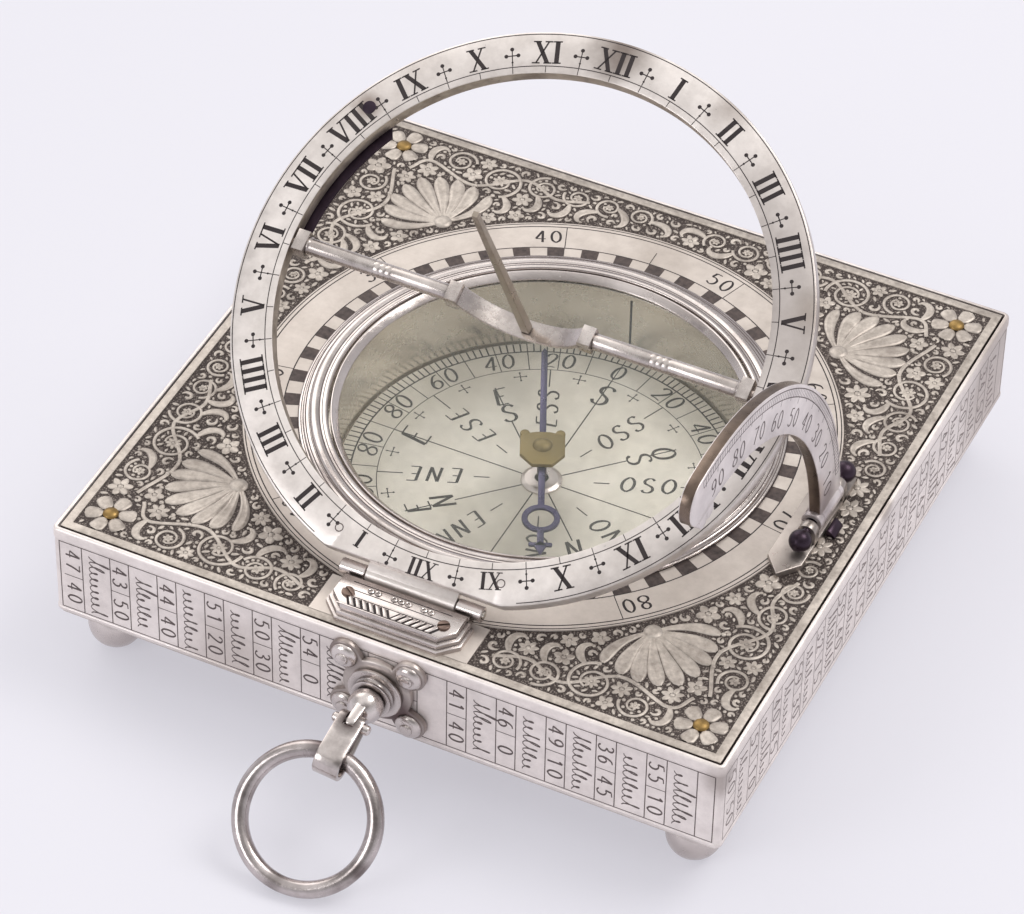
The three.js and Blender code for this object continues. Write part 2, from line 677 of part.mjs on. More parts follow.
// Hinge block on the plate, with the two outer knuckles
function hingeBlock() {
  const { halfWidth, front, rear, cornerCut } = block;
  const levels = [0, ...block.stepHeights, block.height];
  const tiers = block.stepInsets.map((inset, i) => {
    const wide = halfWidth - inset;
    const outline = polygon([[-wide, rear], [-wide, front + cornerCut + inset / 2],
      [-wide + cornerCut - inset / 2, front + inset], [wide - cornerCut + inset / 2, front + inset],
      [wide, front + cornerCut + inset / 2], [wide, rear]]);
    return toSolid(prism(outline, levels[i], levels[i + 1]));
  });
  const start = hinge.knuckleHalf + runningGap;
  const lugs = [-1, 1].flatMap((side) => {
    const ends = [side * start, side * (start + hinge.lugLength)];
    const [x0, x1] = [Math.min(...ends), Math.max(...ends)];
    const webHalf = halfWidth - block.stepInsets[2];
    const webIn = block3(Math.max(x0, -webHalf), Math.min(x1, webHalf), rear - overrun, hinge.y,
      0, hinge.height);
    return [toSolid(webIn), toSolid(rodX(hinge.barrelRadius, x0, x1, facets.small, hinge.y, hinge.height))];
  });
  const reach = start + hinge.lugLength + overrun;
  const pinHole = toSolid(rodX(hinge.pinRadius + runningGap, -reach, reach, facets.tiny,
    hinge.y, hinge.height));
  const screwHoles = [-1, 1].map((side) => toSolid(rodZ(hingeScrew.shankRadius + runningGap, -overrun,
    block.height + overrun, facets.tiny, side * block.screwX, block.screwY)));
  return toGeometry(cut(join(...tiers, ...lugs), pinHole, ...screwHoles));
}

function hingePin() {
  const reach = hinge.knuckleHalf + runningGap + hinge.lugLength + hinge.pinOverhang;
  return rodX(hinge.pinRadius, -reach, reach, facets.tiny, hinge.y, hinge.height);
}

function blockScrew() {
  const { headRadius, headHeight, crownRadius, shankRadius, depth } = hingeScrew;
  const low = -block.height - depth;
  return turned([[0, low], [shankRadius, low], [shankRadius, 0], [headRadius, 0],
    [headRadius, headHeight / 2], [crownRadius, headHeight], [0, headHeight]], facets.tiny);
}

// Latitude quadrant, in the frame of its own hinge pin: outline drawn in Y and Z
function latitudeQuadrant() {
  const centre = [hinge.y, hinge.height - knuckle.z];
  const { outerRadius, innerRadius, startAngle, endAngle, thickness } = quadrant;
  const endRadius = (outerRadius - innerRadius) / 2;
  const mid = (outerRadius + innerRadius) / 2;
  const endCentre = [centre[0] + mid * Math.cos(endAngle), centre[1] + mid * Math.sin(endAngle)];
  const outline = polygon([
    ...arcPoints(centre, outerRadius, startAngle, endAngle, steps.arc),
    ...arcPoints(endCentre, endRadius, endAngle, endAngle + Math.PI, steps.roundEnd).slice(1, -1),
    ...arcPoints(centre, innerRadius, endAngle, startAngle, steps.arc),
  ]);
  const right = quadrant.rightFace - knuckle.x;
  const sheet = toSolid(prism(outline, right - thickness, right).applyMatrix4(toSide));
  const tabAt = (share) => {
    const angle = endAngle - (share * quadrant.tabRadius) / innerRadius;
    const pitch = innerRadius - quadrant.tabInset;
    const disc = new THREE.CylinderGeometry(quadrant.tabRadius, quadrant.tabRadius, thickness, facets.small);
    return toSolid(disc.rotateZ(Math.PI / 2).translate(right - thickness / 2,
      centre[0] + pitch * Math.cos(angle), centre[1] + pitch * Math.sin(angle)));
  };
  const barrel = toSolid(rodY(knuckle.radius, knuckle.front, knuckle.back, facets.small));
  const bore = toSolid(rodY(knuckle.pinRadius + runningGap, knuckle.front - overrun, knuckle.back + overrun,
    facets.tiny));
  return toGeometry(cut(join(sheet, ...quadrant.tabPlaceShares.map(tabAt), barrel), bore));
}

function quadrantFoot() {
  const { left, right, front, gablePoint, back, thickness, earWidth, earHalf, earTop } = quadrantBase;
  const plate = toSolid(prism(polygon([[left, front], [(left + right) / 2, gablePoint], [right, front],
    [right, back], [left, back]]), 0, thickness));
  const ears = [[knuckle.front - seatGap - earWidth, knuckle.front - seatGap],
    [knuckle.back + seatGap, knuckle.back + seatGap + earWidth]].map(([y0, y1]) => toSolid(
    block3(knuckle.x - earHalf, knuckle.x + earHalf, y0, y1, 0, knuckle.z + earTop)));
  const bore = toSolid(rodY(knuckle.pinRadius + runningGap, gablePoint, back, facets.tiny,
    knuckle.x, knuckle.z));
  return toGeometry(cut(join(plate, ...ears), bore));
}

function ballEndedPin() {
  const { ballRadius, ballGap } = quadrantPin;
  const outFront = knuckle.front - seatGap - quadrantBase.earWidth - ballGap;
  const outBack = knuckle.back + seatGap + quadrantBase.earWidth + ballGap;
  const rod = toSolid(rodY(knuckle.pinRadius, outFront - ballRadius, outBack + ballRadius, facets.tiny));
  const balls = [outFront - ballRadius, outBack + ballRadius].map((y) => toSolid(
    new THREE.SphereGeometry(ballRadius, facets.small, facets.small / 2).translate(0, y, 0)));
  return toGeometry(join(rod, ...balls)).translate(knuckle.x, 0, knuckle.z);
}

function quadrantSpring() {
  const { width, length, height, front } = catchSpring;
  const low = quadrantBase.right + seatGap;
  const wedge = polygon([[low, 0], [low + width, 0], [low + width / 3, height], [low, height]]);
  const strip = prism(wedge, 0, length);
  return strip.rotateX(Math.PI / 2).translate(0, front + length, 0);
}

// Suspension pieces, in a frame on the front wall: X along the wall, Z up, +Y into the box
function hangerPlate() {
  const { lobePitchX, lobePitchZ, lobeRadius, centreRadius, plateThickness, waist } = hanger;
  const disc = (radius, x, z, segments) => toSolid(rodY(radius, -plateThickness, 0, segments, x, z));
  const lobes = studPlaces.map(([x, z]) => disc(lobeRadius, x, z - hanger.z, facets.small));
  const web = toSolid(block3(-lobePitchX, lobePitchX, -plateThickness, 0, -waist, waist));
  const rail = toSolid(block3(-waist, waist, -plateThickness, 0, -lobePitchZ, lobePitchZ));
  const body = join(disc(centreRadius, 0, 0, facets.medium), web, rail, ...lobes);
  const holes = studPlaces.map(([x, z]) => toSolid(rodY(stud.shankRadius + seatGap, -plateThickness - overrun,
    overrun, facets.tiny, x, z - hanger.z)));
  const centre = toSolid(rodY(knob.shankRadius + seatGap, -plateThickness - overrun, overrun, facets.small));
  return toGeometry(cut(body, ...holes, centre));
}

function hangerStud() {
  const { domeRadius, domeHeight, shoulderInset, nippleRadius, nippleHeight, shankRadius } = stud;
  const face = hanger.plateThickness;
  const top = face + domeHeight;
  return turned([[0, -box.wall], [shankRadius, -box.wall], [shankRadius, face], [domeRadius, face],
    [domeRadius - shoulderInset, face + domeHeight / 2], [nippleRadius, top],
    [nippleRadius, top + nippleHeight / 2], [nippleRadius / 2, top + nippleHeight],
    [0, top + nippleHeight]], facets.tiny).rotateX(Math.PI / 2);
}

function swivelKnob() {
  const { flangeRadius, flangeThickness, flangeTaper, collarRadius, collarThickness } = knob;
  const { neckRadius, ballRadius, shankRadius } = knob;
  const flangeFrom = hanger.plateThickness + seatGap;
  const collarFrom = flangeFrom + flangeThickness;
  const ballFrom = collarFrom + collarThickness;
  const centre = ballFrom + Math.sqrt(ballRadius ** 2 - neckRadius ** 2);
  const neckAngle = -Math.acos(neckRadius / ballRadius);
  const arc = arcPoints([0, centre], ballRadius, neckAngle, Math.PI / 2, steps.ball);
  arc[arc.length - 1][0] = 0;
  const tail = box.wall + seatGap + knob.nutThickness + knob.shankTail;
  const body = toSolid(turned([[0, -tail], [shankRadius, -tail], [shankRadius, flangeFrom],
    [flangeRadius, flangeFrom], [flangeRadius - flangeTaper, collarFrom], [collarRadius, collarFrom],
    [collarRadius, ballFrom], [neckRadius, ballFrom], ...arc.slice(1)], facets.medium).rotateX(Math.PI / 2));
  const nose = join(
    toSolid(block3(-knob.noseHalf, knob.noseHalf, -shackle.reach, -centre, shackle.rise - knob.noseRadius,
      shackle.rise + knob.noseRadius)),
    toSolid(rodX(knob.noseRadius, -knob.noseHalf, knob.noseHalf, facets.small, -shackle.reach, shackle.rise)),
  );
  const hole = toSolid(rodX(shackle.pinRadius + runningGap, -collarRadius, collarRadius, facets.tiny,
    -shackle.reach, shackle.rise));
  return toGeometry(cut(join(body, nose), hole));
}

function swivelNut() {
  const from = box.wall + seatGap;
  const outer = toSolid(rodY(knob.nutRadius, from, from + knob.nutThickness, facets.nut));
  const bore = toSolid(rodY(knob.shankRadius + runningGap, from - overrun, from + knob.nutThickness + overrun,
    facets.small));
  return toGeometry(cut(outer, bore));
}

function shacklePin() {
  const { pinRadius, pinHalf } = shackle;
  const round = pinRadius / 2;
  const profile = [[0, -pinHalf - round], [round, -pinHalf - round], [pinRadius, -pinHalf],
    [pinRadius, pinHalf], [round, pinHalf + round], [0, pinHalf + round]];
  return turned(profile, facets.tiny).rotateY(Math.PI / 2);
}

// Folded strap: outline drawn in the swing plane, its pin at the origin, running out along -Y
function shackleStrap() {
  const { nearRadius, farRadius, strap, length, width, pinRadius } = shackle;
  const far = length - farRadius;
  const slope = Math.asin((farRadius - nearRadius) / far);
  const loop = (inset) => [
    ...arcPoints([0, 0], nearRadius - inset, -Math.PI / 2 + slope, Math.PI / 2 - slope, steps.roundEnd),
    ...arcPoints([-far, 0], farRadius - inset, Math.PI / 2 - slope, 1.5 * Math.PI + slope, steps.strapEnd),
  ];
  const innerNear = pinRadius + runningGap + strap;
  const taper = nearRadius - strap;
  const window = polygon([[-innerNear, -taper], [-innerNear, taper],
    ...arcPoints([-far, 0], farRadius - strap, Math.PI / 2, 1.5 * Math.PI, steps.strapEnd)]);
  const body = toSolid(prism(polygon(loop(0)), -width / 2, width / 2).applyMatrix4(toSide));
  const opening = toSolid(prism(window, -width / 2 - overrun, width / 2 + overrun).applyMatrix4(toSide));
  const bore = toSolid(rodX(pinRadius + runningGap, -width, width, facets.tiny));
  const slotHalf = knob.noseHalf + seatGap;
  const slot = toSolid(rodX(knob.noseRadius + shackle.noseClearance, -slotHalf, slotHalf, facets.medium));
  return toGeometry(cut(body, opening, bore, slot));
}

// Wire ring in its own plane, the point that hangs in the shackle at the origin
function hangingRing() {
  const { pitchRadius, wireRadius } = wireRing;
  const loop = new THREE.TorusGeometry(pitchRadius, wireRadius, facets.tiny, 2 * facets.medium);
  return loop.translate(0, -pitchRadius, 0);
}

function assemble() {
  const dial = new THREE.Group();
  const plateFrame = new THREE.Group();
  plateFrame.position.z = undersideDepth;
  dial.add(plateFrame);
  addBox(plateFrame);
  addCompass(plateFrame);
  addHourRing(plateFrame);
  addQuadrant(plateFrame);
  addSuspension(plateFrame);
  return dial;
}

function addBox(frame) {
  frame.add(mesh('case_walls', caseWalls(), 'silver'));
  frame.add(mesh('bottom_plate', bottomPlate(), 'silver'));
  frame.add(mesh('top_plate', topPlate(), 'silver'));
  corners.forEach(([x, y], i) => {
    const ball = mesh(`foot_${cornerNames[i]}`, ballFoot(), 'silver');
    ball.position.set(x, y, -undersideDepth);
    const screw = mesh(`corner_screw_${cornerNames[i]}`, domeScrew(cornerScrew), 'gilt');
    screw.position.set(x, y, 0);
    frame.add(mesh(`corner_post_${cornerNames[i]}`, cornerPost([x, y]), 'brass'), ball, screw);
  });
}

function addCompass(frame) {
  frame.add(
    mesh('compass_bowl', compassBowl(), 'darkSilver'),
    mesh('compass_card', compassCard(), 'card'),
    mesh('card_boss', cardBoss(), 'silver'),
    mesh('pivot_post', pivotPost(), 'steel'),
    mesh('compass_needle', compassNeedle(), 'steel'),
    mesh('needle_cap', needleCap(), 'brass'),
    mesh('compass_glass', glassDisc(), 'glass'),
    mesh('glass_retaining_ring', glassRetainer(), 'silver'),
    mesh('bezel', bezelRing(), 'silver'),
  );
}

function addHourRing(frame) {
  frame.add(mesh('hinge_block', hingeBlock(), 'silver'), mesh('hinge_pin', hingePin(), 'darkSilver'));
  [['left', -1], ['right', 1]].forEach(([name, side]) => {
    const screw = mesh(`hinge_screw_${name}`, blockScrew(), 'steel');
    screw.position.set(side * block.screwX, block.screwY, block.height);
    frame.add(screw);
  });
  const slope = new THREE.Group();
  slope.position.set(0, hinge.y, hinge.height);
  slope.rotation.x = ring.tilt;
  frame.add(slope);
  slope.add(
    mesh('hour_ring', hourRing(), 'silver'),
    mesh('ring_spring', ringSpring(), 'steel'),
    mesh('spring_rivet', springRivet(), 'steel'),
    mesh('bridge_pivot_left', bridgePivot(-1), 'silver'),
    mesh('bridge_pivot_right', bridgePivot(1), 'silver'),
  );
  const bars = new THREE.Group();
  bars.position.set(0, ring.pitch, ringMid);
  bars.rotation.x = bridge.turn;
  slope.add(bars);
  bars.add(mesh('gnomon_bridge', gnomonBridge(), 'silver'), mesh('gnomon_pin', gnomonPin(), 'darkSilver'));
}

function addQuadrant(frame) {
  const arc = mesh('latitude_quadrant', latitudeQuadrant(), 'silver');
  arc.position.set(knuckle.x, 0, knuckle.z);
  arc.rotation.y = quadrant.lean;
  frame.add(
    arc,
    mesh('quadrant_base', quadrantFoot(), 'silver'),
    mesh('quadrant_pin', ballEndedPin(), 'steel'),
    mesh('quadrant_spring', quadrantSpring(), 'steel'),
  );
}

function addSuspension(frame) {
  const wall = new THREE.Group();
  wall.position.set(0, -box.width / 2, hanger.z);
  frame.add(wall);
  wall.add(mesh('suspension_plate', hangerPlate(), 'silver'));
  studPlaces.forEach(([x, z], i) => {
    const piece = mesh(`suspension_stud_${studNames[i]}`, hangerStud(), 'silver');
    piece.position.set(x, 0, z - hanger.z);
    wall.add(piece);
  });
  const swivel = new THREE.Group();
  swivel.rotation.y = knob.turn;
  wall.add(swivel);
  swivel.add(mesh('swivel_knob', swivelKnob(), 'silver'), mesh('swivel_nut', swivelNut(), 'brass'));
  const swing = new THREE.Group();
  swing.position.set(0, -shackle.reach, shackle.rise);
  swivel.add(swing);
  swing.add(mesh('shackle_pin', shacklePin(), 'silver'));
  const strap = mesh('shackle', shackleStrap(), 'silver');
  strap.rotation.x = shackle.drop;
  const loop = mesh('suspension_ring', hangingRing(), 'silver');
  loop.position.set(0, -wireRing.seat * Math.cos(shackle.drop), -wireRing.seat * Math.sin(shackle.drop));
  loop.rotation.x = wireRing.drop;
  swing.add(strap, loop);
}

export default assemble();
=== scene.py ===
import math

import bmesh
import bpy
import numpy as np
from mathutils import Matrix, Vector


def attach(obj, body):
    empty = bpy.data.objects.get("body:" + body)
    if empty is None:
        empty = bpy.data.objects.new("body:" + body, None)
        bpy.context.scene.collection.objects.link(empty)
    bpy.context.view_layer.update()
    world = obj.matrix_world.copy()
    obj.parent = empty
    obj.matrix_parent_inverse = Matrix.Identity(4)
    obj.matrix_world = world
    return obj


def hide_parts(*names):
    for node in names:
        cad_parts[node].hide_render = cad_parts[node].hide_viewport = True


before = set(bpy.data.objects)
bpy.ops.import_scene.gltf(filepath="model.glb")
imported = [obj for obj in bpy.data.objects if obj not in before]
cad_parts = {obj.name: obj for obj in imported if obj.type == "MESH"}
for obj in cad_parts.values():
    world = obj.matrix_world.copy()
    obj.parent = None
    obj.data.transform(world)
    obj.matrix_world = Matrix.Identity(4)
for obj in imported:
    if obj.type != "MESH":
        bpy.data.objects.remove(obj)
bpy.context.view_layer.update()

MM = 0.001
TAU = 2 * math.pi
rng = np.random.default_rng(17)

# Frames, in millimetres
LIFT = 14.5
HINGE = (0, -36.3, 1.7)
RING_PITCH = 35.7
QUARTER = math.pi / 2


def shift(x, y, z):
    return Matrix.Translation((x, y, z))


def spin(degrees, axis):
    return Matrix.Rotation(math.radians(degrees), 4, axis)


CORNERS = ((-1, -1), (1, -1), (1, 1), (-1, 1))
CORNER_NAMES = ("front_left", "front_right", "back_right", "back_left")
PLATE = shift(0, 0, LIFT)
TILT_AXIS = shift(*HINGE)
FOLD_AXIS = shift(38.5, 0, 2.6)
SLOPE = PLATE @ TILT_AXIS @ spin(33.3, "X")
DIAL = SLOPE @ shift(0, RING_PITCH, 0)
BARS = DIAL @ shift(0, 0, 1.3) @ spin(-6.6, "X")
ARC = PLATE @ FOLD_AXIS @ spin(-1.6, "Y")
WALL = PLATE @ shift(0, -45, -6.9)
SWIVEL = WALL @ spin(6.6, "Y")
SWING = SWIVEL @ shift(0, -7.45, 0.5)
TO_X = Matrix.Rotation(QUARTER, 4, "Y")
TO_Y = Matrix.Rotation(-QUARTER, 4, "X")
OUTWARD = Matrix.Rotation(QUARTER, 4, "X")


# Mesh tools
def moved(points, at):
    turn = np.array(at)
    return np.asarray(points, float) @ turn[:3, :3].T + turn[:3, 3]


class Form:
    """Vertices and faces of one piece, in millimetres."""

    def __init__(self):
        self.verts, self.faces, self.mats = [], [], []

    def add(self, verts, faces, mat=0, at=None):
        base = len(self.verts)
        points = np.asarray(verts, float) if at is None else moved(verts, at)
        self.verts.extend(points.tolist())
        self.faces.extend([tuple(base + i for i in face) for face in faces])
        self.mats.extend([mat] * len(faces))


def loft(form, loops, ring=False, at=None):
    """Skin over closed loops, which is itself closed to a ring or else capped at both ends."""
    size, count = len(loops[0]), len(loops)
    faces = []
    for a in range(count if ring else count - 1):
        b = (a + 1) % count
        for i in range(size):
            j = (i + 1) % size
            faces.append((a * size + i, a * size + j, b * size + j, b * size + i))
    if not ring:
        faces.append(tuple(range(size - 1, -1, -1)))
        faces.append(tuple((count - 1) * size + i for i in range(size)))
    form.add([p for loop in loops for p in loop], faces, at=at)


def polar(radius, angle, centre=(0, 0)):
    """Point of a circle, with its angle in radians."""
    return centre[0] + radius * math.cos(angle), centre[1] + radius * math.sin(angle)


def circle(radius, height, steps, centre=(0, 0)):
    return [(*polar(radius, TAU * i / steps, centre), height) for i in range(steps)]


def lathe(form, profile, steps, at=None, ring=False):
    """Skin turned from (radius, height) points about Z."""
    loft(form, [circle(max(radius, 0.012), height, steps) for radius, height in profile], ring, at)


def smooth_profile(points, steps):
    """Catmull-Rom through the points."""
    pts = [np.array(p, float) for p in points]
    pts = [2 * pts[0] - pts[1]] + pts + [2 * pts[-1] - pts[-2]]
    out = []
    for a, b, c, d in zip(pts, pts[1:], pts[2:], pts[3:]):
        for k in range(steps):
            t = k / steps
            out.append(0.5 * (2 * b + (c - a) * t + (2 * a - 5 * b + 4 * c - d) * t * t
                              + (3 * b - a - 3 * c + d) * t ** 3))
    out.append(pts[-2])
    return np.array(out)


def inset_loop(points, inset):
    """The closed flat outline moved inward, counter-clockwise points."""
    pts = np.asarray(points, float)[:, :2]
    before, after = np.roll(pts, 1, 0), np.roll(pts, -1, 0)
    a = pts - before
    b = after - pts
    a /= np.maximum(np.linalg.norm(a, axis=1), 1e-9)[:, None]
    b /= np.maximum(np.linalg.norm(b, axis=1), 1e-9)[:, None]
    na = np.stack([-a[:, 1], a[:, 0]], 1)
    nb = np.stack([-b[:, 1], b[:, 0]], 1)
    mid = na + nb
    mid /= np.maximum((mid * mid).sum(1) / 2, 0.35)[:, None]
    return pts + mid * inset


def slab(form, outline, low, high, edge, at=None, under=None):
    """Flat plate with eased edges."""
    under = edge if under is None else under
    steps = [(under, low), (under * 0.3, low + under * 0.3), (0, low + under)] if under else [(0, low)]
    loops = []
    for inset, height in steps + [(0, high - edge), (edge * 0.3, high - edge * 0.3), (edge, high)]:
        pts = inset_loop(outline, inset) if inset else np.asarray(outline, float)[:, :2]
        loops.append([(x, y, height) for x, y in pts])
    loft(form, loops, at=at)


def brick(form, x0, x1, y0, y1, z0, z1, edge, at=None):
    slab(form, [(x0, y0), (x1, y0), (x1, y1), (x0, y1)], z0, z1, edge, at)


def rounded_rect(x0, x1, y0, y1, radius, steps=6):
    corners = ((x1 - radius, y0 + radius, -90), (x1 - radius, y1 - radius, 0),
               (x0 + radius, y1 - radius, 90), (x0 + radius, y0 + radius, 180))
    return [polar(radius, math.radians(start + 90 * i / steps), (x, y))
            for x, y, start in corners for i in range(steps + 1)]


def closed_tube(form, path, radii, steps):
    """Round wire along a closed path that lies flat, with a radius for each of its points."""
    pts = np.asarray(path, float)
    ahead = np.roll(pts, -1, 0) - np.roll(pts, 1, 0)
    ahead /= np.linalg.norm(ahead, axis=1)[:, None]
    side = np.cross(ahead[0], [0, 0, 1.0])
    loops = []
    for p, d, r in zip(pts, ahead, radii):
        side = side - d * side.dot(d)
        side /= np.linalg.norm(side)
        up = np.cross(d, side)
        loops.append([p + r * (math.cos(TAU * k / steps) * side + math.sin(TAU * k / steps) * up)
                      for k in range(steps)])
    loft(form, loops, ring=True)


def piece(name, form, place, mats, body, replaces=(), crease=35):
    mesh = bpy.data.meshes.new(name)
    mesh.from_pydata((moved(form.verts, place) * MM).tolist(), [], form.faces)
    mesh.polygons.foreach_set("material_index", form.mats)
    for mat in mats:
        mesh.materials.append(mat)
    work = bmesh.new()
    work.from_mesh(mesh)
    bmesh.ops.recalc_face_normals(work, faces=work.faces)
    work.to_mesh(mesh)
    work.free()
    mesh.shade_smooth()
    mesh.set_sharp_from_angle(angle=math.radians(crease))
    obj = bpy.data.objects.new(name, mesh)
    bpy.context.scene.collection.objects.link(obj)
    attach(obj, body)
    if replaces:
        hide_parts(*replaces)


# Engraving tools
CROWN, FULL_WIDTH = 0.012, 0.34


def sides(pts):
    """Unit vectors to the left of a flat path."""
    ahead = np.gradient(pts, axis=0)
    ahead /= np.maximum(np.linalg.norm(ahead, axis=1), 1e-9)[:, None]
    return np.stack([-ahead[:, 1], ahead[:, 0]], 1)


def flat_stroke(form, path, width, height, at=None):
    """Dark engraved line: a thin crowned strip just proud of its surface."""
    pts = np.asarray(path, float)
    count = len(pts)
    side = sides(pts) * (np.broadcast_to(width, count)[:, None] / 2)
    base = np.full((count, 1), height)
    crown = np.full((count, 1), height + CROWN)
    verts = np.concatenate([np.hstack([pts + side, base]), np.hstack([pts, crown]), np.hstack([pts - side, base])])
    faces = []
    for i in range(count - 1):
        for a in (i, count + i):
            faces.append((a, a + 1, a + count + 1, a + count))
    form.add(verts, faces, at=at)


def dot(form, x, y, radius, height):
    steps = 10
    form.add(circle(radius, height, steps, (x, y)) + [(x, y, height + CROWN)],
             [(i, (i + 1) % steps, steps) for i in range(steps)])


def patch(form, points, height, mat=0):
    form.add([(x, y, height) for x, y in points], [tuple(range(len(points)))], mat)


def arc_path(radius, start, end, step=2.0, centre=(0, 0)):
    """Arc between two angles in degrees."""
    count = max(3, int(abs(end - start) / step) + 1)
    turns = np.radians(np.linspace(start, end, count))
    return np.stack([centre[0] + radius * np.cos(turns), centre[1] + radius * np.sin(turns)], 1)


def spoke(inner, outer, angle, centre=(0, 0)):
    return [polar(inner, angle, centre), polar(outer, angle, centre)]


def six(points):
    return [(0.6 - x, 1 - y) for x, y in points]


SIX = [(0.5, 0.95), (0.28, 0.88), (0.1, 0.6), (0.05, 0.3), (0.15, 0.05), (0.33, 0), (0.52, 0.14),
       (0.53, 0.38), (0.35, 0.54), (0.14, 0.46), (0.06, 0.3)]
GLYPHS = {
    "0": [[(0.3, 0), (0.1, 0.18), (0.04, 0.5), (0.1, 0.82), (0.3, 1), (0.5, 0.82), (0.56, 0.5), (0.5, 0.18), (0.3, 0)]],
    "1": [[(0.14, 0.8), (0.32, 1)], [(0.32, 1), (0.32, 0)]],
    "2": [[(0.06, 0.78), (0.14, 0.94), (0.32, 1), (0.5, 0.9), (0.51, 0.7), (0.34, 0.38), (0.05, 0.02)],
          [(0.05, 0.02), (0.3, 0.05), (0.58, 0.02)]],
    "3": [[(0.08, 0.9), (0.28, 1), (0.49, 0.88), (0.47, 0.66), (0.24, 0.54)],
          [(0.24, 0.54), (0.51, 0.44), (0.56, 0.22), (0.4, 0.02), (0.2, 0), (0.04, 0.12)]],
    "4": [[(0.42, 0), (0.42, 1)], [(0.42, 1), (0.03, 0.3)], [(0.03, 0.3), (0.6, 0.3)]],
    "5": [[(0.52, 1), (0.16, 0.97)], [(0.16, 0.97), (0.1, 0.58)],
          [(0.1, 0.58), (0.32, 0.62), (0.54, 0.45), (0.52, 0.15), (0.3, 0), (0.05, 0.1)]],
    "6": [SIX],
    "7": [[(0.05, 0.96), (0.3, 0.94), (0.56, 0.98)], [(0.56, 0.98), (0.36, 0.5), (0.25, 0)]],
    "8": [[(0.3, 0.52), (0.1, 0.65), (0.1, 0.88), (0.3, 1), (0.5, 0.88), (0.5, 0.65), (0.3, 0.52), (0.06, 0.35),
           (0.06, 0.12), (0.3, 0), (0.54, 0.12), (0.54, 0.35), (0.3, 0.52)]],
    "9": [six(SIX)],
    "S": [[(0.52, 0.85), (0.4, 0.98), (0.2, 0.99), (0.06, 0.84), (0.1, 0.65), (0.3, 0.52), (0.5, 0.38),
           (0.55, 0.16), (0.4, 0), (0.16, 0.02), (0.04, 0.17)]],
    "E": [[(0.1, 0), (0.1, 1)], [(0.1, 1), (0.55, 1)], [(0.1, 0.52), (0.42, 0.52)], [(0.1, 0), (0.57, 0)]],
    "O": [[(0.3, 0), (0.08, 0.18), (0.0, 0.5), (0.08, 0.82), (0.3, 1), (0.52, 0.82), (0.6, 0.5), (0.52, 0.18),
           (0.3, 0)]],
    "N": [[(0.06, 0), (0.06, 1)], [(0.06, 1), (0.56, 0)], [(0.56, 0), (0.56, 1)]],
}


def placed(u, v, x, y, angle):
    """Flat points turned by degrees and moved to a place."""
    turn = math.radians(angle)
    c, s = math.cos(turn), math.sin(turn)
    return np.stack([x + u * c - v * s, y + u * s + v * c], 1)


def write(form, text, x, y, size, angle, weight, height, at=None, gap=0.22, slant=0.0):
    """Letters drawn with a broad pen, centred on a place and turned by degrees."""
    pitch = (0.6 + gap) * size
    total = pitch * len(text) - gap * size
    for k, char in enumerate(text):
        for line in GLYPHS[char]:
            pts = smooth_profile(line, 4) if len(line) > 2 else np.array(line, float)
            u = pts[:, 0] * size + pts[:, 1] * slant * size - total / 2 + k * pitch
            v = (pts[:, 1] - 0.5) * size
            ahead = np.gradient(np.stack([u, v], 1), axis=0)
            lean = np.abs(ahead[:, 1]) / np.maximum(np.linalg.norm(ahead, axis=1), 1e-9)
            flat_stroke(form, placed(u, v, x, y, angle), weight * (0.5 + 0.6 * lean), height, at)


def flourish(form, x, y, length, size, angle, weight, height, seed):
    """A running line of loops and waves with no letters in it."""
    draw = np.random.default_rng(seed)
    t = np.linspace(0, 1, 90)
    waves = max(4, int(length / (size * 0.31)))
    phase = TAU * waves * t
    tall = np.interp(t, np.linspace(0, 1, waves + 1), draw.choice([0.3, 0.34, 0.38, 0.42, 0.8, 1.0], waves + 1))
    rise = (0.5 - 0.5 * np.cos(phase)) * tall
    u = (t - 0.5) * length + size * 0.12 * np.sin(phase + 0.6) + 0.3 * rise * size
    v = rise * size - size * 0.3
    climb, run = np.abs(np.gradient(v)), np.abs(np.gradient(u))
    flat_stroke(form, placed(u, v, x, y, angle), weight * (0.45 + 0.75 * climb / (climb + run + 1e-9)), height)


def vine(form, path, width, low, high, groove=0.0):
    """Raised stem or leaf with a crowned section; a groove makes its vein."""
    pts = np.asarray(path, float)
    count = len(pts)
    wide = np.broadcast_to(width, count)
    side = sides(pts)
    top = low + (high - low) * np.minimum(1, wide / FULL_WIDTH)
    section = [(0.5, 0, 0), (0.44, 0.72, 0), (0.2, 1, 0), (0, 1, groove), (-0.2, 1, 0), (-0.44, 0.72, 0), (-0.5, 0, 0)]
    rows = [np.hstack([pts + side * (wide * across)[:, None], (low + (top - low) * (up - sink))[:, None]])
            for across, up, sink in section]
    form.add(np.concatenate(rows), [(a, a + 1, a + count + 1, a + count) for row in range(len(rows) - 1)
                                    for a in range(row * count, (row + 1) * count - 1)])


def bead(form, x, y, radius, low, high, steps=10):
    loft(form, [circle(radius, low, steps, (x, y)), circle(radius * 0.9, low + (high - low) * 0.7, steps, (x, y)),
                circle(radius * 0.4, high, steps, (x, y))])


# Materials
BLACK, WHITE = (0, 0, 0, 1), (1, 1, 1, 1)
SCRATCHES = (60, 900, 300)
# Reach of the crevice darkening, which paints shade into crevices together with grime
GRIME_AND_SHADE_REACH = 0.9 * MM


def feed(tree, socket, value):
    """Links a socket to a value that is a socket, and sets it to any other."""
    if isinstance(value, bpy.types.NodeSocket):
        tree.links.new(value, socket)
    else:
        socket.default_value = value


def node(tree, kind, **inputs):
    made = tree.nodes.new("ShaderNode" + kind)
    for key, value in inputs.items():
        feed(tree, made.inputs[key.replace("_", " ")], value)
    return made


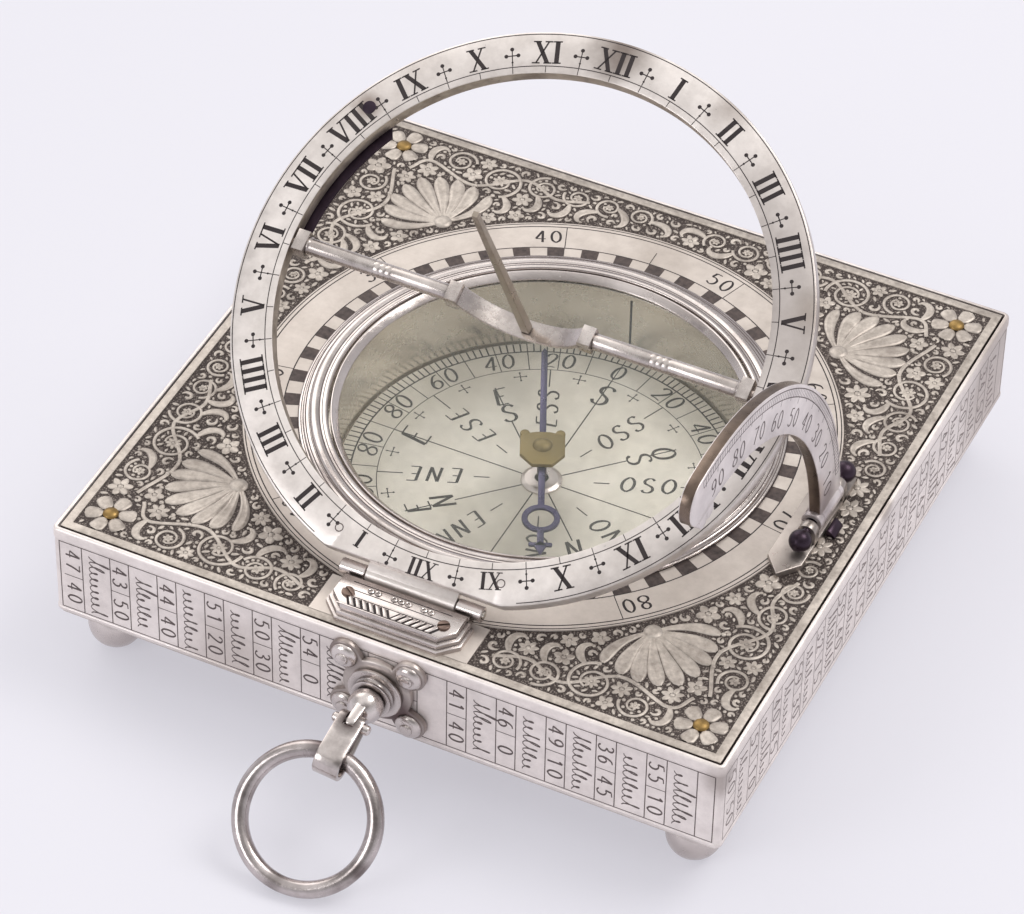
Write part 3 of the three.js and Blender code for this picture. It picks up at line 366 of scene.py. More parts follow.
def worked(tree, kind, operation, *values):
    """Outputs of a Math or VectorMath node."""
    made = tree.nodes.new("ShaderNode" + kind)
    made.operation = operation
    for socket, value in zip(made.inputs, values):
        feed(tree, socket, value)
    return made.outputs


def mixed(tree, factor, a, b, blend="MIX", kind="RGBA"):
    made = tree.nodes.new("ShaderNodeMix")
    made.data_type = kind
    made.blend_type = blend
    for key, value in (("Factor", factor), ("A", a), ("B", b)):
        feed(tree, made.inputs[key], value)
    return made.outputs["Result"]


def ranged(tree, value, low, high, to_low=0.0, to_high=1.0, curve="LINEAR"):
    made = node(tree, "MapRange", Value=value, From_Min=low, From_Max=high, To_Min=to_low, To_Max=to_high)
    made.interpolation_type = curve
    return made.outputs["Result"]


def ramp(tree, factor, first, last, *between):
    """Colour ramp of (position, colour) stops."""
    made = node(tree, "ValToRGB", Fac=factor)
    stops = made.color_ramp.elements
    for stop, (position, color) in zip(stops, (first, last)):
        stop.position = position
        stop.color = color
    for position, color in between:
        stops.new(position).color = color
    return made.outputs["Color"]


def linear(color):
    """sRGB bytes to linear."""
    return tuple(((c / 255 + 0.055) / 1.055) ** 2.4 if c > 10 else c / 255 / 12.92 for c in color) + (1,)


def material(name, **inputs):
    mat = bpy.data.materials.new(name)
    mat.use_nodes = True
    shader = mat.node_tree.nodes["Principled BSDF"]
    for key, value in inputs.items():
        shader.inputs[key.replace("_", " ")].default_value = value
    return mat, mat.node_tree, shader


def metal(name, tone, dark, metallic, rough, patina, grain=420.0, bump=0.05, stains_and_shade=(), relief=None,
          speckle=0.35, broad_scale=95.0, grime_and_shade=0.0):
    """Worn metal: tone with darker patches of patina, fine grain and scratches. Each stain is
    (centre mm, radius mm, colour, strength); some are real stains and some are painted shade and shadows.
    relief is (low z mm, high z mm, colour of the sunk ground). The crevice darkening paints shade into
    the piece's own crevices, together with grime."""
    mat, tree, shader = material(name, Metallic=metallic)
    place = node(tree, "TexCoord").outputs["Object"]
    broad = node(tree, "TexNoise", Vector=place, Scale=broad_scale, Detail=5.0, Roughness=0.62).outputs
    fine = node(tree, "TexNoise", Vector=place, Scale=grain, Detail=6.0, Roughness=0.7).outputs["Fac"]
    spread = ramp(tree, broad["Fac"], (0.38, BLACK), (0.72, WHITE))
    color = mixed(tree, worked(tree, "Math", "MULTIPLY", spread, patina)[0], linear(tone), linear(dark))
    color = mixed(tree, speckle, color, ramp(tree, fine, (0.3, (0.55, 0.53, 0.52, 1)), (0.62, WHITE)), "MULTIPLY")
    gloss = ranged(tree, fine, 0.3, 0.7, rough - 0.07, rough + 0.12)
    if relief:
        low, high, ground = relief
        height = node(tree, "SeparateXYZ", Vector=place).outputs["Z"]
        level = ranged(tree, height, (low + LIFT) * MM, (high + LIFT) * MM)
        color = mixed(tree, level, linear(ground), color)
        gloss = mixed(tree, level, 0.75, gloss, kind="FLOAT")
    # Each stain darkens a round patch: some are real stains, others are painted shade and shadows
    for centre, radius, shade, strength in stains_and_shade:
        size = radius * MM
        wobble = worked(tree, "VectorMath", "MULTIPLY_ADD", broad["Color"], (size * 1.1,) * 3, place)["Vector"]
        middle = tuple((c + radius * 0.55) * MM for c in centre)
        away = worked(tree, "VectorMath", "DISTANCE", wobble, middle)["Value"]
        color = mixed(tree, ranged(tree, away, size * 1.25, size * 0.45, 0.0, strength), color, linear(shade))
    # Ambient occlusion of the piece's own shape darkens its crevices: painted shade there, together with grime
    if grime_and_shade:
        crevice = node(tree, "AmbientOcclusion", Distance=GRIME_AND_SHADE_REACH)
        crevice.only_local = True
        crevice.samples = 6
        color = mixed(tree, ranged(tree, crevice.outputs["AO"], 0.9, 0.4, 0.0, grime_and_shade), color, linear((52, 40, 38)))
    tree.links.new(color, shader.inputs["Base Color"])
    tree.links.new(gloss, shader.inputs["Roughness"])
    stretch = node(tree, "Mapping", Vector=place, Scale=SCRATCHES).outputs["Vector"]
    scratch = node(tree, "TexNoise", Vector=stretch, Scale=1.0, Detail=3.0).outputs["Fac"]
    height = worked(tree, "Math", "ADD", fine, scratch)[0]
    dents = node(tree, "Bump", Strength=bump, Distance=0.0006, Height=height)
    tree.links.new(dents.outputs["Normal"], shader.inputs["Normal"])
    return mat


def stippled(name, tone, dark):
    """Sunk ground punched all over with small round marks."""
    mat, tree, shader = material(name, Metallic=0.55, Roughness=0.6)
    place = node(tree, "TexCoord").outputs["Object"]
    punch = node(tree, "TexVoronoi", Vector=place, Scale=3600.0, Randomness=0.75).outputs["Distance"]
    tree.links.new(ramp(tree, punch, (0.12, linear(tone)), (0.5, linear(dark))), shader.inputs["Base Color"])
    dent = node(tree, "Bump", Strength=0.6, Distance=0.0001, Height=punch)
    dent.invert = True
    tree.links.new(dent.outputs["Normal"], shader.inputs["Normal"])
    return mat


def glassy(name):
    """Old glass with a faint uneven haze."""
    mat, tree, shader = material(name, Base_Color=(0.42, 0.45, 0.42, 1), Roughness=0.03)
    place = node(tree, "TexCoord").outputs["Object"]
    haze = node(tree, "TexNoise", Vector=place, Scale=120.0, Detail=4.0).outputs["Fac"]
    tree.links.new(ranged(tree, haze, 0.35, 0.75, 0.05, 0.1), shader.inputs["Alpha"])
    return mat


SILVER = metal("silver_worn", (218, 209, 203), (160, 148, 140), metallic=0.75, rough=0.3, patina=0.5, grime_and_shade=0.7)
FRONT = metal("silver_side", (242, 233, 229), (204, 194, 188), metallic=0.6, rough=0.42, patina=0.4,
              stains_and_shade=[((45.0, 40.0, 9.0), 11.0, (156, 142, 134), 0.6), ((45.0, 4.0, 15.0), 2.2, (120, 104, 94), 0.5),
                      ((45.0, -44.0, 12.0), 2.6, (120, 104, 96), 0.5),
                      ((-20.0, -45.0, 3.0), 7.0, (178, 166, 158), 0.5)])
# A lighter copy of the engraved grey for the right side's lines: painted light, where that side is brightly lit
LINE_LIT_SIDE = metal("engraved_grey_lit_side", (146, 134, 131), (112, 100, 98), metallic=0.35, rough=0.5, patina=0.5, bump=0.0)
# A darker copy of the dial's silver for the hour ring's inner wall: painted shade on that wall
DIAL_WALL = metal("silver_dial_wall", (196, 184, 174), (92, 76, 66), metallic=0.75, rough=0.32, patina=0.85,
                  broad_scale=230.0)
FACE = metal("silver_dial", (232, 224, 219), (180, 170, 163), metallic=0.6, rough=0.34, patina=0.55,
             stains_and_shade=[((-1.0, 23.6, 56.0), 4.6, (86, 68, 58), 0.8), ((14.5, 20.5, 54.0), 3.4, (104, 86, 74), 0.6),
                     ((34.0, 2.5, 43.0), 3.0, (148, 134, 118), 0.6), ((-28.4, 7.9, 48.1), 1.9, (104, 80, 66), 0.6),
                     ((32.0, 6.0, 45.0), 17.0, (146, 136, 132), 0.55)])
RELIEF = metal("silver_relief", (206, 196, 186), (134, 123, 115), metallic=0.5, rough=0.4, patina=0.7,
               grain=1300.0, speckle=0.8, broad_scale=240.0, relief=(-0.16, -0.05, (66, 57, 54)))
BAND = metal("silver_band", (208, 198, 190), (166, 155, 146), metallic=0.62, rough=0.38, patina=0.55)
PLAIN = metal("silver_bright", (222, 213, 209), (132, 121, 115), metallic=0.95, rough=0.2, patina=0.5,
              broad_scale=210.0, grime_and_shade=0.85)
WIRED = metal("silver_ring", (204, 195, 193), (92, 80, 76), metallic=0.95, rough=0.2, patina=0.6, broad_scale=170.0,
              stains_and_shade=[((-1.6, -56.4, 6.2), 2.0, (70, 52, 56), 0.85), ((-8.3, -61.6, 0.8), 1.3, (84, 68, 66), 0.6),
                      ((-2.2, -67.8, -5.6), 1.4, (70, 56, 54), 0.7), ((7.6, -64.6, -2.3), 1.2, (80, 66, 64), 0.6)])
# The dark rings round the four studs and the patch beside the knob are painted shade where those parts meet the plate,
# together with grime
HANGER = metal("silver_hanger", (204, 194, 188), (130, 116, 110), metallic=0.75, rough=0.34, patina=0.6, grime_and_shade=0.8,
               stains_and_shade=[((sx * 4.3, -45.8, 7.6 + sz * 4.1), 2.3, (84, 66, 64), 0.75) for sx in (-1, 1) for sz in (-1, 1)]
               + [((2.6, -45.8, 5.2), 3.2, (78, 56, 58), 0.8)])
BOWL = metal("silver_bowl", (224, 217, 207), (168, 160, 149), metallic=0.9, rough=0.22, patina=0.3, speckle=0.12,
             broad_scale=45.0, bump=0.02)
BARS_SILVER = metal("silver_bars", (208, 199, 194), (124, 113, 107), metallic=0.9, rough=0.24, patina=0.55,
                    broad_scale=190.0, grime_and_shade=0.8)
STRAP = metal("silver_strap", (208, 199, 195), (110, 98, 93), metallic=0.95, rough=0.17, patina=0.5, broad_scale=260.0,
              grime_and_shade=0.8, stains_and_shade=[((0.0, -53.2, 8.9), 1.7, (64, 48, 48), 0.85)])
RIM = metal("quadrant_edge", (124, 108, 96), (64, 50, 44), metallic=0.8, rough=0.3, patina=0.7, broad_scale=200.0)
FOOT = metal("silver_foot", (178, 169, 163), (118, 108, 102), metallic=0.8, rough=0.3, patina=0.6, grime_and_shade=0.8)
HATCH = metal("engraved_hatch", (86, 73, 69), (40, 31, 32), metallic=0.25, rough=0.5, patina=0.9, broad_scale=1500.0)
ROD = metal("silver_dull", (178, 166, 152), (104, 92, 82), metallic=0.8, rough=0.3, patina=0.6)
QUAD = metal("silver_quadrant", (232, 224, 222), (172, 161, 161), metallic=0.68, rough=0.36, patina=0.5,
             stains_and_shade=[((38.5, -7.0, 22.5), 3.2, (134, 100, 72), 0.75), ((38.5, -3.0, 19.5), 3.0, (98, 78, 84), 0.6)])
INK = metal("engraved_black", (40, 31, 33), (60, 50, 49), metallic=0.2, rough=0.55, patina=0.5, bump=0.0)
LINE = metal("engraved_grey", (100, 88, 86), (70, 61, 61), metallic=0.3, rough=0.5, patina=0.5, bump=0.0)
CARD_INK = metal("card_black", (62, 57, 53), (92, 86, 80), metallic=0.1, rough=0.6, patina=0.5, bump=0.0)
STEEL = metal("steel_blued", (64, 50, 62), (36, 28, 38), metallic=0.75, rough=0.32, patina=0.7)
SCREW = metal("steel_brown", (132, 112, 102), (72, 56, 52), metallic=0.75, rough=0.34, patina=0.7, grime_and_shade=0.8)
BLUE = metal("steel_needle", (86, 80, 108), (48, 42, 62), metallic=0.7, rough=0.3, patina=0.5)
BRASS = metal("brass_cap", (146, 128, 80), (98, 82, 50), metallic=0.5, rough=0.45, patina=0.6, grime_and_shade=0.5)
GILT = metal("gilt_screw", (160, 130, 78), (96, 76, 46), metallic=0.8, rough=0.4, patina=0.7, broad_scale=700.0)
# Both of the card's stains are painted shadows: the bowl rim's on its upper left, and one over its lower middle
CARD = metal("silvered_card", (236, 230, 217), (208, 202, 187), metallic=0.3, rough=0.5, patina=0.7, bump=0.01,
             stains_and_shade=[((0.5, -13.0, 3.7), 10.0, (146, 138, 122), 0.5), ((-15.0, 15.0, 3.7), 8.0, (168, 160, 146), 0.4)])
GROUND = stippled("stippled_ground", (142, 131, 124), (66, 57, 54))
GLASS = glassy("compass_glass_pane")

# Box
WALL_IN = 44.4


def square_loops(profile):
    """Square loops of (half side, height), with corners rounded less the further in they lie."""
    return [[(x, y, z) for x, y in rounded_rect(-half, half, -half, half, max(0.05, 0.9 - (45 - half)))]
            for half, z in profile]


walls = Form()
loft(walls, square_loops([
    (44.66, -13.9), (44.9, -13.84), (45, -13.66), (45, -13.3), (44.93, -13.22), (44.9, -13.1), (44.9, -1.72),
    (44.93, -1.6), (45, -1.52), (45, -0.42), (44.93, -0.2), (44.8, -0.06), (44.62, 0), (44.5, 0), (44.42, -0.05),
    (WALL_IN, -0.14), (WALL_IN, -1.3), (42.8, -1.3), (42.8, -13.9)]), ring=True)
piece("walls_box", walls, PLATE, [FRONT], "case", ["case_walls"])

under = Form()
slab(under, rounded_rect(-44.7, 44.7, -44.7, 44.7, 0.8), -14.3, -13.9, 0.1)
slab(under, rounded_rect(-33, 33, -33, 33, 0.8), -14.5, -14.2, 0.05)
piece("plate_bottom", under, PLATE, [SILVER], "case", ["bottom_plate"])

# Ruled cells and their numbers round the four sides, drawn in a frame that faces outward
PANEL_TOP, PANEL_LOW, PANEL_MIDDLE = -1.9, -13.0, -7.3
CELLS, RULE, PROUD = 13, 0.13, 0.012
for number, turn in enumerate((0, 90, 180, 270)):
    marks = Form()
    draw = np.random.default_rng(40 + number)

    def upright(x):
        flat_stroke(marks, [(x, PANEL_LOW), (x, PANEL_TOP)], RULE, PROUD)

    for z in (PANEL_TOP, PANEL_LOW):
        flat_stroke(marks, [(-44, z), (44, z)], RULE, PROUD)
    upright(-43.95)
    upright(43.95)
    for k in range(CELLS + 1):
        x = -43.0 + k * 6.55
        # The suspension plate covers the front's middle
        covered = number == 0 and -10.0 < x < 6.5
        if k:
            upright(x - 0.45)
        if k < CELLS:
            upright(x + 2.15)
            flat_stroke(marks, [(x - 0.45, PANEL_MIDDLE), (x + 2.15, PANEL_MIDDLE)], 0.11, PROUD)
            if not covered:
                for z, value in ((-4.6, draw.integers(31, 60)), (-10.1, draw.choice([0, 10, 15, 20, 30, 40, 45, 50]))):
                    write(marks, str(int(value)), x + 0.85, z, 1.95, -90, 0.27, PROUD, gap=0.45)
                flourish(marks, x + 4.1, -7.45, float(draw.uniform(8.4, 10.2)), 3.3, -90, 0.18, PROUD,
                         100 + 20 * number + k)
    # The right side, number 1, takes the lighter copy of the engraved grey, painted light
    piece(f"side_engraving_{number}", marks, PLATE @ spin(turn, "Z") @ shift(0, -44.9, 0) @ OUTWARD,
          [LINE_LIT_SIDE if number == 1 else LINE], "case")

# Feet and corner screws
CORNER = 39.6
FOOT_RADIUS = 3.56
for (sx, sy), name in zip(CORNERS, CORNER_NAMES):
    at = PLATE @ shift(sx * CORNER, sy * CORNER, 0)
    ball = Form()
    arc = [polar(FOOT_RADIUS, t, (0, -3.68))
           for t in np.linspace(math.asin(-3.41 / FOOT_RADIUS), math.acos(1.5 / FOOT_RADIUS), 26)]
    lathe(ball, [(0, arc[0][1])] + arc + [(1.5, 0.6), (0.9, 0.6), (0.9, 4.6), (0, 4.6)], 64)
    piece(f"ball_{name}", ball, at @ shift(0, 0, -14.5), [PLAIN], "case", [f"foot_{name}"])
    screw = Form()
    lathe(screw, [(0, -4.8), (0.6, -4.8), (0.6, 0), (1, 0)]
          + [(math.cos(t), 0.5 * math.sin(t)) for t in np.linspace(0.15, QUARTER, 9)], 40)
    piece(f"screw_{name}", screw, at, [GILT], "case", [f"corner_screw_{name}"])

# Top plate
SINK = -0.15
plate = Form()
STEPS = 256


def square_ray(half, height):
    return [(half * math.cos(t) / max(abs(math.cos(t)), abs(math.sin(t))),
             half * math.sin(t) / max(abs(math.cos(t)), abs(math.sin(t))), height)
            for t in (TAU * i / STEPS for i in range(STEPS))]


loft(plate, [circle(27.5, SINK, STEPS), circle(27.5, -1.3, STEPS), square_ray(44.1, -1.3), square_ray(44.1, -0.05),
             square_ray(44.02, 0), square_ray(43.0, 0), square_ray(42.95, SINK)], ring=True)
# All but the sunk ground, which is the last of the seven strips
plate.mats[:6 * STEPS] = [1] * (6 * STEPS)
band = Form()
loft(band, [circle(29.9, SINK - 0.05, STEPS), circle(29.9, 0, STEPS), circle(37.55, 0, STEPS),
            circle(37.62, SINK - 0.05, STEPS)], ring=True)
panel = Form()
brick(panel, -10.6, 10.6, -43.1, -36.6, SINK - 0.05, 0.0, 0.03)
piece("plate_top", plate, PLATE, [GROUND, RELIEF], "case", ["top_plate"])
piece("plate_band", band, PLATE, [BAND], "case")
piece("plate_hinge_panel", panel, PLATE, [BAND], "case")

lines = Form()
BAND_Z = 0.004
for radius, width in ((36.75, 0.16), (37.3, 0.14), (32.62, 0.16), (30.62, 0.14)):
    flat_stroke(lines, arc_path(radius, 0, 360), width, BAND_Z)
for k in range(0, 90, 2):
    start = 90.8 - 4 * k
    patch(lines, np.concatenate([arc_path(30.6, start - 4, start, 1), arc_path(32.6, start, start - 4, 1)]),
          BAND_Z * 2, 1)
for k in (0, *range(1, 18, 2)):
    flat_stroke(lines, spoke(32.6, 36.75 if k else 35.0, math.radians(90.8 - 20 * k)), 0.12, BAND_Z)
for k, text in enumerate(("40", "50", "60", "70", "80", "0", "10", "20", "30")):
    angle = (110 - 40 * k if k < 8 else 150) + 4.6
    write(lines, text, *polar(34.75, math.radians(angle)), 2.25, angle - 90, 0.3, BAND_Z, gap=0.3)
piece("band_engraving", lines, PLATE, [INK, HATCH], "case")

# Scrolling foliage in the four corners: stems, leaves, flowers and beads packed by a distance field
CELL, HALF_FIELD = 0.12, 44
SPAN = int(2 * HALF_FIELD / CELL)
PLATE_REACH, BAND_REACH, PANEL_REACH = 42.72, 37.85, 10.85
axis_mm = (np.arange(SPAN) + 0.5) * CELL - HALF_FIELD
GX, GY = np.meshgrid(axis_mm, axis_mm, indexing="ij")
# Each cell holds its distance from what is taken: plate edge, degree band, hinge panel and quadrant's foot
space = np.minimum(PLATE_REACH - np.maximum(np.abs(GX), np.abs(GY)), np.hypot(GX, GY) - BAND_REACH)
beside_panel = np.where(np.abs(GX) < PANEL_REACH, -1, np.abs(GX) - PANEL_REACH)
space = np.where(GY < 0, np.minimum(space, beside_panel), space)
space = np.minimum(space, np.where((GX > 34.9) & (GX < 40.0) & (GY > -13.4) & (GY < 7.2), -1, 9))


def window(x, y, reach):
    i0, i1 = (int(max(0, (c - reach + HALF_FIELD) / CELL)) for c in (x, y))
    j0, j1 = (int(min(SPAN, (c + reach + HALF_FIELD) / CELL + 1)) for c in (x, y))
    return slice(i0, j0), slice(i1, j1)


def stamp(x, y, radius):
    area = window(x, y, radius + 3.2)
    space[area] = np.minimum(space[area], np.hypot(GX[area] - x, GY[area] - y) - radius)


def stamp_along(path, wide):
    for (x, y), w in zip(path, wide):
        stamp(x, y, w / 2)


def room(points):
    i = np.clip(((points[:, 0] + HALF_FIELD) / CELL).astype(int), 0, SPAN - 1)
    j = np.clip(((points[:, 1] + HALF_FIELD) / CELL).astype(int), 0, SPAN - 1)
    return space[i, j]


leaves = Form()
LOW, TOP = SINK - 0.02, 0.0
stems = []


def lay(path, width, groove=0.0, lift=0.0):
    vine(leaves, path, width, LOW, TOP + lift, groove)
    stamp_along(path, np.broadcast_to(width, len(path)))


def curl(x, y, heading, length, bend0, bend1, steps):
    """Path that starts at a place and heading and winds tighter as it goes; bends in radians per mm."""
    ds = length / steps
    pts = [(x, y)]
    for k in range(steps):
        f = (k + 0.5) / steps
        heading += (bend0 + (bend1 - bend0) * f * f) * ds
        x += math.cos(heading) * ds
        y += math.sin(heading) * ds
        pts.append((x, y))
    return np.array(pts)


def leaf_width(count, widest, start=0.35, end=0.55):
    t = np.linspace(0, 1, count)
    body = np.sin(np.pi * np.clip(t * 0.86 + 0.1, 0, 1)) ** 0.8
    return widest * np.maximum(body, np.where(t < 0.5, start, end * np.minimum(1, (1 - t) * 8 + 0.1)))


def rosette(x, y, radius, petals, phase):
    steps = np.linspace(0, 1, 7)
    wide = TAU * radius / petals * 0.62 * np.sin(np.pi * (0.18 + 0.76 * steps)) ** 0.7
    for k in range(petals):
        t = phase + TAU * k / petals
        start, tip = np.array(spoke(radius * 0.25, radius, t, (x, y)))
        vine(leaves, start + (tip - start) * steps[:, None], wide, LOW, TOP + 0.01, 0.35)
    bead(leaves, x, y, radius * 0.26, LOW, TOP + 0.05)
    stamp(x, y, radius)


def scroll(cx, cy, radius, hand, start, turns, thick):
    """Stem that winds in to a flower; it joins the stems, along which leaves are set later."""
    count = int(26 * turns * max(1, radius / 2))
    t = np.linspace(0, 1, count)
    r = radius * (1 - 0.66 * t ** 0.9)
    a = math.radians(start) + hand * TAU * turns * t
    path = np.stack([cx + r * np.cos(a), cy + r * np.sin(a)], 1)
    lay(path, thick * (1 - 0.35 * t))
    rosette(cx, cy, radius * 0.34, 6 if radius < 3 else 8, a[-1])
    stems.append(path)


def sprout(path, spacing, sizes, widest, depth):
    """Leaves that leave a stem on both sides and curl away where there is room."""
    lengths = np.concatenate([[0], np.cumsum(np.linalg.norm(np.diff(path, axis=0), axis=1))])
    total = lengths[-1]
    made = []
    distance = spacing * 0.5
    flip = 1
    while distance < total - 0.2:
        x = float(np.interp(distance, lengths, path[:, 0]))
        y = float(np.interp(distance, lengths, path[:, 1]))
        ahead = min(total, distance + 0.3)
        heading = math.atan2(float(np.interp(ahead, lengths, path[:, 1])) - y,
                             float(np.interp(ahead, lengths, path[:, 0])) - x)
        for side in (flip, -flip):
            for size in sizes:
                best = None
                for tilt in (0.5, 0.85, 1.2):
                    for sense in (side, -side):
                        wind = (3.4 if sense == side else 2.4) * sense / (0.45 * size + 0.35)
                        trial = curl(x, y, heading + side * tilt, size, 0.25 * sense, wind, 16)
                        wide = leaf_width(len(trial), widest * min(1, 0.45 + size / 5))
                        skip = 4 if depth == 0 else 3
                        slack = room(trial[skip:]) - wide[skip:] / 2
                        if slack.min() > 0.1 and (best is None or slack.mean() > best[0]):
                            best = (slack.mean(), trial, wide)
                if best:
                    lay(best[1], best[2], 0.3 if size > 1.6 else 0.0, 0.01)
                    made.append(best[1])
                    if size > 2.0:
                        bead(leaves, *best[1][-1], 0.24, LOW, TOP + 0.03)
                    break
        flip = -flip
        distance += spacing
    if depth:
        for leaf in made:
            sprout(leaf, spacing * 0.8, [s * 0.6 for s in sizes], widest * 0.75, depth - 1)


# Corner flowers round the gilt screws
steps = np.linspace(-1, 1, 11)
wide = (1.98 + 0.36 * steps) * np.sqrt(np.maximum(0.02, 1 - (steps * 0.97) ** 4))
for sx in (-1, 1):
    for sy in (-1, 1):
        cx, cy = sx * CORNER, sy * CORNER
        for k in range(6):
            t = TAU * k / 6 + 0.3
            mid = polar(2.1, t, (cx, cy))
            path = np.stack([mid[0] + 1.12 * steps * math.cos(t), mid[1] + 1.12 * steps * math.sin(t)], 1)
            vine(leaves, path, wide, LOW, TOP + 0.03, 0.3)
        stamp(cx, cy, 3.2)


def feather(x, y, heading, length, bend, widest):
    """Broad leaf, widest near its tip, with a cut vein and a bead at its end."""
    spine = curl(x, y, heading, length, bend, 2.6 * bend, 14)
    share = np.linspace(0, 1, len(spine))
    wide = widest * (0.35 + 0.65 * np.sin(np.pi * share ** 1.6 * 0.62)) * np.sqrt(np.maximum(0.03, 1 - share ** 7))
    vine(leaves, spine, wide, LOW, TOP + 0.05, 0.5)
    stamp_along(spine, wide)
    bead(leaves, *(spine[-1] + 0.42 * np.array([math.cos(heading), math.sin(heading)])), 0.34, LOW, TOP + 0.06)


# A shell of broad leaves inside each corner, opening towards the corner flower, between two curled ones
for sx, sy in CORNERS:
    middle = math.atan2(sy, sx)
    foot = (sx * 28.1, sy * 28.1)
    for k in range(-3, 4):
        heading = middle + math.radians(21 * k)
        feather(*polar(1.1, heading, foot), heading, 8.3 - 0.35 * abs(k), -0.02 * k, 2.35)
    for side in (-1, 1):
        heading = middle + side * math.radians(92)
        feather(*polar(0.9, heading, foot), heading, 7.6, -side * 0.09, 1.9)
    bead(leaves, *foot, 1.25, LOW, TOP + 0.16, steps=18)
    stamp(*foot, 1.7)

# Main scrolls, mirrored by hand so that no two corners are the same
for offset, (sx, sy) in enumerate(CORNERS):
    row = [(25.0, 38.9, 3.2), (38.9, 25.0, 3.2), (31.3, 40.2, 2.1), (40.2, 31.3, 2.1), (19.2, 40.1, 2.3),
           (40.1, 19.2, 2.3), (14.4, 40.4, 2.0), (40.5, 14.4, 1.9), (40.6, 10.0, 1.7)]
    if sy > 0:
        row += [(9.9, 40.5, 1.9), (5.4, 40.6, 1.7)]
        row += [(40.7, 1.9, 1.45)] if sx < 0 else []
    row += [(40.65, 5.9, 1.6)] if sx < 0 else []
    for k, (px, py, radius) in enumerate(row):
        scroll(sx * px, sy * py, radius, 1 if (k + offset) % 2 else -1, 40 * k + 97 * offset,
               1.3 + 0.25 * ((k + offset) % 3) / 2, 0.36 + 0.05 * radius)

# A running stem that waves past the scrolls of each side
beads = [(12.6, 40.3), (16.9, 38.9), (21.9, 40.6), (27.9, 36.6), (34.9, 38.6), (37.0, 35.9)]
for signs in CORNERS:
    for wave in (smooth_profile(beads, 9), smooth_profile(beads[:-1], 9)[:, ::-1]):
        wave = wave * signs
        kept = wave[(room(wave) > -0.6) & (np.hypot(wave[:, 0], wave[:, 1]) > 38.4)]
        if len(kept) > 12:
            lay(kept, 0.55, 0.3)
            stems.append(kept)

for path in stems:
    sprout(path, 1.1, [4.6, 3.6, 2.8, 2.0, 1.3], 1.15, 1)

# What is left free takes buds, curls, commas and beads, the largest first
ROSETTE_ROOM, CURL_ROOM, COMMA_ROOM, BEAD_ROOM, MOST = 1.25, 0.62, 0.36, 0.3, 4200
for _ in range(MOST):
    i, j = divmod(int(np.argmax(space)), SPAN)
    free = float(space[i, j])
    if free < BEAD_ROOM:
        break
    x, y = float(GX[i, j]), float(GY[i, j])
    if free > ROSETTE_ROOM:
        rosette(x, y, min(free - 0.16, 1.7), int(rng.integers(5, 8)), float(rng.uniform(0, TAU)))
    elif free > CURL_ROOM:
        size = free - 0.12
        turn = float(rng.uniform(0, TAU))
        sense = 1 if rng.random() < 0.5 else -1
        t = np.linspace(0, 1, 15)
        r = size * (1 - 0.75 * t)
        a = turn + sense * 4.6 * t
        path = np.stack([x + r * np.cos(a) * 0.82, y + r * np.sin(a) * 0.82], 1)
        vine(leaves, path, leaf_width(15, 0.34 + 0.2 * size, 0.3, 0.9), LOW, TOP)
        bead(leaves, *path[-1], 0.2, LOW, TOP + 0.02)
        stamp(x, y, size * 0.98)
    elif free > COMMA_ROOM:
        size = free - 0.06
        turn = float(rng.uniform(0, TAU))
        path = curl(x - size * math.cos(turn), y - size * math.sin(turn), turn, size * 2, 0.5, -0.9, 7)
        vine(leaves, path, leaf_width(8, size * 0.95, 0.2, 0.5), LOW, TOP)
        stamp(x, y, size)
    else:
        bead(leaves, x, y, free - 0.07, LOW, TOP - 0.01, steps=7)
        stamp(x, y, free)
piece("plate_foliage", leaves, PLATE, [RELIEF], "case", crease=70)


# Compass
def turned(name, profile, steps, mat, replaced, ring=False, crease=35):
    """Piece of the case turned about the dial's upright axis."""
    form = Form()
    lathe(form, profile, steps, ring=ring)
    piece(name, form, PLATE, [mat], "case", [replaced], crease)


turned("bowl", [(0, -12.3), (27.0, -12.3), (27.2, -12.1), (27.2, -1.7), (30.2, -1.7), (30.2, -1.32), (27.2, -1.32),
                (27.2, -0.5), (27.15, -0.45), (26.35, -0.45), (26.3, -0.5), (26.3, -11.5), (0, -11.5)], 160, BOWL,
       "compass_bowl")
turned("card", [(0.9, -11.5), (25.95, -11.5), (26, -11.45), (26, -10.85), (25.95, -10.8), (0.9, -10.8)], 160, CARD,
       "compass_card", ring=True)
turned("boss", [(0.9, -10.8), (2.65, -10.8), (2.65, -10.62), (2.52, -10.5), (2.3, -10.45), (2.2, -10.36),
                (2.0, -10.31), (0.9, -10.3)], 64, SILVER, "card_boss", ring=True)
turned("post", [(0, -11.5), (0.6, -11.5), (0.6, -7.4), (0.45, -6.9), (0.12, -5.3), (0, -5.1)], 28, STEEL,
       "pivot_post")

